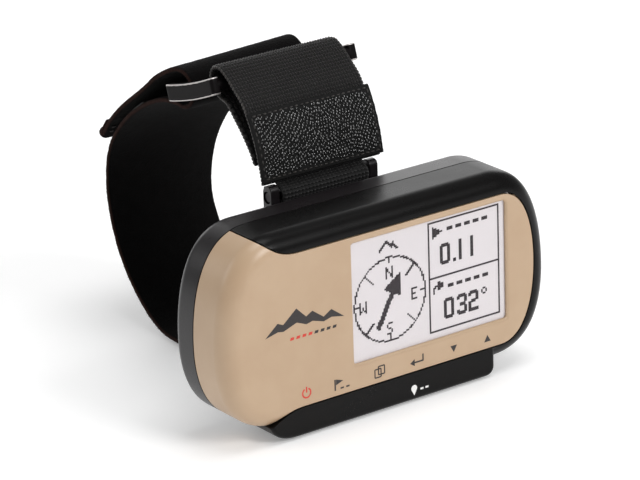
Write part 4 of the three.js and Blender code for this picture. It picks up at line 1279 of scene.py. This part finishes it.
# ---- Long strap ----
LONG_LEFT = [
    (23.5, 0.65), (36, 0.65), (49, 0.75), (59.5, 1.5), (66.9, 6.0), (73.0, 12.9), (76.9, 21.4), (78.2, 30.4),
    (76.4, 38.8), (70.6, 46.1), (62.6, 51.7), (55.5, 54.8), (50.0, 55.6),
]
LONG_RIGHT = [
    (23.5, 0.65), (36, 0.65), (52, 0.7), (64.2, 2.8), (72.8, 7.2), (78.6, 13.0), (81.9, 20.6), (81.0, 29.0),
    (77.4, 36.9), (71.4, 44.0), (64.0, 49.8), (57.0, 53.6), (51.2, 55.7),
]
OVER_BAR = [(46.2, 55.5), (43.7, 57.3), (43.1, 60.0), (44.9, 62.4), (48.4, 63.2)]
OVER_BAR_RIGHT = [(46.2, 55.5), (43.7, 57.3), (43.1, 60.2), (44.9, 63.0), (48.6, 64.3)]
STRAP_THICKNESS, HOOK_THICKNESS, HOOK_GAP = 1.2, 0.8, 0.2
RETURN_LIFT = STRAP_THICKNESS + HOOK_THICKNESS + 2.5 * HOOK_GAP
RETURN_STOPS = ((11, 2.4), (10.5, 1.1), (10, 0.4), (9.5, 0.2), (9, 0.3), (8.5, 0.6), (8.1, 0.9))


def strap_edge(run, over):
    """One edge of the strap: its rising run, the turn over the ring's bar, and the returning run."""
    points = [Vector((0, *point)) for point in run]
    back = []
    for stop, rise in RETURN_STOPS:
        share, step = stop / (len(run) - 1), 1e-4
        here = curve_point(points, share)
        ahead = (curve_point(points, share + step) - curve_point(points, share - step)).normalized()
        lift = RETURN_LIFT + rise
        back.append((here.y + ahead.z * lift, here.z - ahead.y * lift))
    return [(y + SHIFT_Y, z) for y, z in [*run, *over, *back]]


LEFT_EDGE, RIGHT_EDGE = strap_edge(LONG_LEFT, OVER_BAR), strap_edge(LONG_RIGHT, OVER_BAR_RIGHT)
LONG_STRIP = Strip(LEFT_EDGE, RIGHT_EDGE, STRAP_WIDTH, out=1, samples=900)
HALF_STRAP = STRAP_WIDTH / 2


def make_long_strap():
    """Pile cloth: its outer face is soft and uneven, its inner face smoother, and its cut edges ragged."""
    length = LONG_STRIP.length
    cloth = ribbon(STRAP_WIDTH - 0.4, 0.1, length - 0.1, STRAP_THICKNESS - 0.12, 44, 400, 0.35)
    for vert in cloth.verts:
        x, y, z = vert.co
        soft = noise.noise(Vector((x * 0.9, y * 0.9, z * 3)))
        vert.co.z += (0.09 if z > 0 else 0.04) * soft
        if abs(x) > HALF_STRAP - 0.6:
            ragged = noise.noise(Vector((math.copysign(5, x), y * 1.3, z * 2)))
            vert.co.x += math.copysign(0.16 * ragged, x)
    strap = LONG_STRIP.piece("pile_strap", cloth, "black_pile", PILE, ["long_strap"])
    fibres, fibre_count = bmesh.new(), 2600
    for _ in range(fibre_count):
        side = random.choice((-1, 1))
        edge = random.random() < 0.6
        x = side * (HALF_STRAP - random.uniform(0.2, 0.35)) if edge else random.uniform(-14.6, 14.6)
        y = random.uniform(0.5, length - 0.5)
        lean = side * 1.2 if edge else random.uniform(-0.9, 0.9)
        height = random.uniform(-0.4, 0.4) if edge else 0.5
        place = Matrix.Translation((x, y, height)) @ Matrix.Rotation(lean, 4, "Y")
        place = place @ Matrix.Rotation(random.uniform(-0.9, 0.9), 4, "X") @ Matrix.Translation((0, 0, 0.16))
        bmesh.ops.create_cone(
            fibres, cap_ends=True, segments=3, radius1=0.05, radius2=0.012, depth=random.uniform(0.3, 0.5),
            matrix=place)
    loose = LONG_STRIP.piece("strap_fibres", fibres, "black_pile", PILE, crease=32)
    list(make_hem())
    make_sewing()


def make_hem():
    """The strap's free end folded over the hook tape and sewn down."""
    end = LONG_STRIP.length
    hem = ribbon(STRAP_WIDTH - 0.2, end - 4.2, end + 0.05, 0.5, 40, 12, 0.4, -0.72)
    lip = ribbon(STRAP_WIDTH - 0.2, end - 0.25, end + 0.55, 2.3, 40, 4, 0.4, -0.55)
    for part in (hem, lip):
        for vert in part.verts:
            vert.co.z += 0.08 * noise.noise(Vector((vert.co.x * 0.4, vert.co.y, vert.co.z)))
    folded = LONG_STRIP.piece("strap_hem", put_together([hem, lip]), "black_pile", PILE)
    line = [(-HALF_STRAP + 0.9, end - 3.2), (HALF_STRAP - 0.9, end - 3.2)]
    seam = put_together([stitches(line, 0.66), stitches([(x, y + 1.6) for x, y in line], 0.66)])
    return folded, LONG_STRIP.piece("hem_stitching", seam, "black_webbing", THREAD)


def make_sewing():
    """A sewn box with a cross where the strap and the lower tab lie together."""
    x, low_y, high_y, level = 9.5, 1.2, 8.8, -0.72
    box = [(-x, low_y), (x, low_y), (x, high_y), (-x, high_y), (-x, low_y)]
    lines = (box, [(-x, low_y), (x, high_y)], [(-x, high_y), (x, low_y)])
    parts = [stitches(line, level) for line in lines]
    return LONG_STRIP.piece("strap_box_stitching", put_together(parts), "black_webbing", THREAD)


def make_hooks():
    """The hook tape on the strap's outer face, under its returning run: a woven ground with rows of hooks."""
    first, last = [LONG_STRIP.along[round(stop / 24 * 900)] for stop in (8.25, 9.9)]
    ground = ribbon(27, first, last, 0.3, 30, 24, 0.35, 1.0)
    tape = LONG_STRIP.piece("hook_tape_ground", ground, "hook_tape", HOOKS, ["hook_tape"])
    hooks = bmesh.new()
    for row in range(int((last - first - 0.8) / 0.9)):
        for column in range(29):
            x = (column - 14) * 0.9 + 0.2 * (row % 2)
            add_bead(hooks, x, first + 0.8 + 0.9 * row, 1.3, 0.14, 0.26, 0.3, 0.2 - 0.4 * (column % 2))
    rows = LONG_STRIP.piece("hook_rows", hooks, "hook_tape", HOOKS)


make_short_strap()
make_patch()
make_tabs()
make_ring()
make_long_strap()
make_hooks()


# ---- Floor, light and camera ----
def make_stage():
    floor_finish = Finish("floor", roughness=0.6, emission_strength=0.22)
    floor_finish.set(emission_color=(1, 1, 1, 1))
    clouds = floor_finish.noise(floor_finish.place(300.0), 2.0)
    floor_finish.set(base_color=floor_finish.mix(clouds, (0.9, 0.9, 0.9, 1), (0.93, 0.93, 0.93, 1)))
    bm = bmesh.new()
    under = Matrix.Translation((0, 0, -0.4 * MM))
    bmesh.ops.create_grid(bm, x_segments=1, y_segments=1, size=4, matrix=under)
    mesh = bpy.data.meshes.new("floor")
    bm.to_mesh(mesh)
    bm.free()
    mesh.materials.append(floor_finish.material)
    linked("floor", mesh)
    world = bpy.context.scene.world or bpy.data.worlds.new("studio")
    bpy.context.scene.world = world
    world.use_nodes = True
    background = world.node_tree.nodes["Background"]
    background.inputs["Color"].default_value = (1, 1, 1, 1)
    background.inputs["Strength"].default_value = 0.3


def add_light(name, place, size, power):
    """A rectangular soft light that faces the object."""
    light = bpy.data.lights.new(name, "AREA")
    light.shape, light.size, light.size_y = "RECTANGLE", *size
    light.energy = power
    obj = linked(name, light)
    obj.location = place
    obj.rotation_mode = "QUATERNION"
    obj.rotation_quaternion = (Vector((0, 0.03, 0.03)) - Vector(place)).to_track_quat("-Z", "Y")


def make_camera():
    """Looks at the case from its left and above, through a long lens."""
    turned_by, risen_by, rolled_by = math.radians(35.63), math.radians(20.333), math.radians(-1.947)
    distance, aside, above = 0.730686, -0.014232, 0.011955
    back = Vector((-math.sin(turned_by) * math.cos(risen_by), -math.cos(turned_by) * math.cos(risen_by),
                   math.sin(risen_by)))
    right = Vector((math.cos(turned_by), -math.sin(turned_by), 0))
    up = back.cross(right)
    right, up = (right * math.cos(rolled_by) + up * math.sin(rolled_by),
                 up * math.cos(rolled_by) - right * math.sin(rolled_by))
    middle = Vector((0.35, -3.05, 23.4)) * MM
    place = middle + back * distance + right * aside + up * above
    camera = bpy.data.cameras.new("camera")
    camera.lens, camera.sensor_width = 202.5, 36
    camera.clip_start = 0.01
    obj = linked("camera", camera)
    obj.matrix_world = Matrix.Translation(place) @ Matrix((right, up, back)).transposed().to_4x4()
    bpy.context.scene.camera = obj


make_stage()
bpy.context.scene.view_settings.view_transform = "Standard"
for light_name, light_place, light_size, watts in (
    ("overhead", (0.1, -0.1, 0.95), (0.5, 0.5), 3.4),
    ("key", (0.3, -1.0, 0.75), (0.5, 0.5), 7.5),
    ("side", (-0.85, 0.65, 0.55), (0.5, 0.5), 2.2),
    ("backdrop", (0.5, 0.95, 0.42), (1.3, 0.7), 4.2),
):
    add_light(light_name, light_place, light_size, watts)
make_camera()
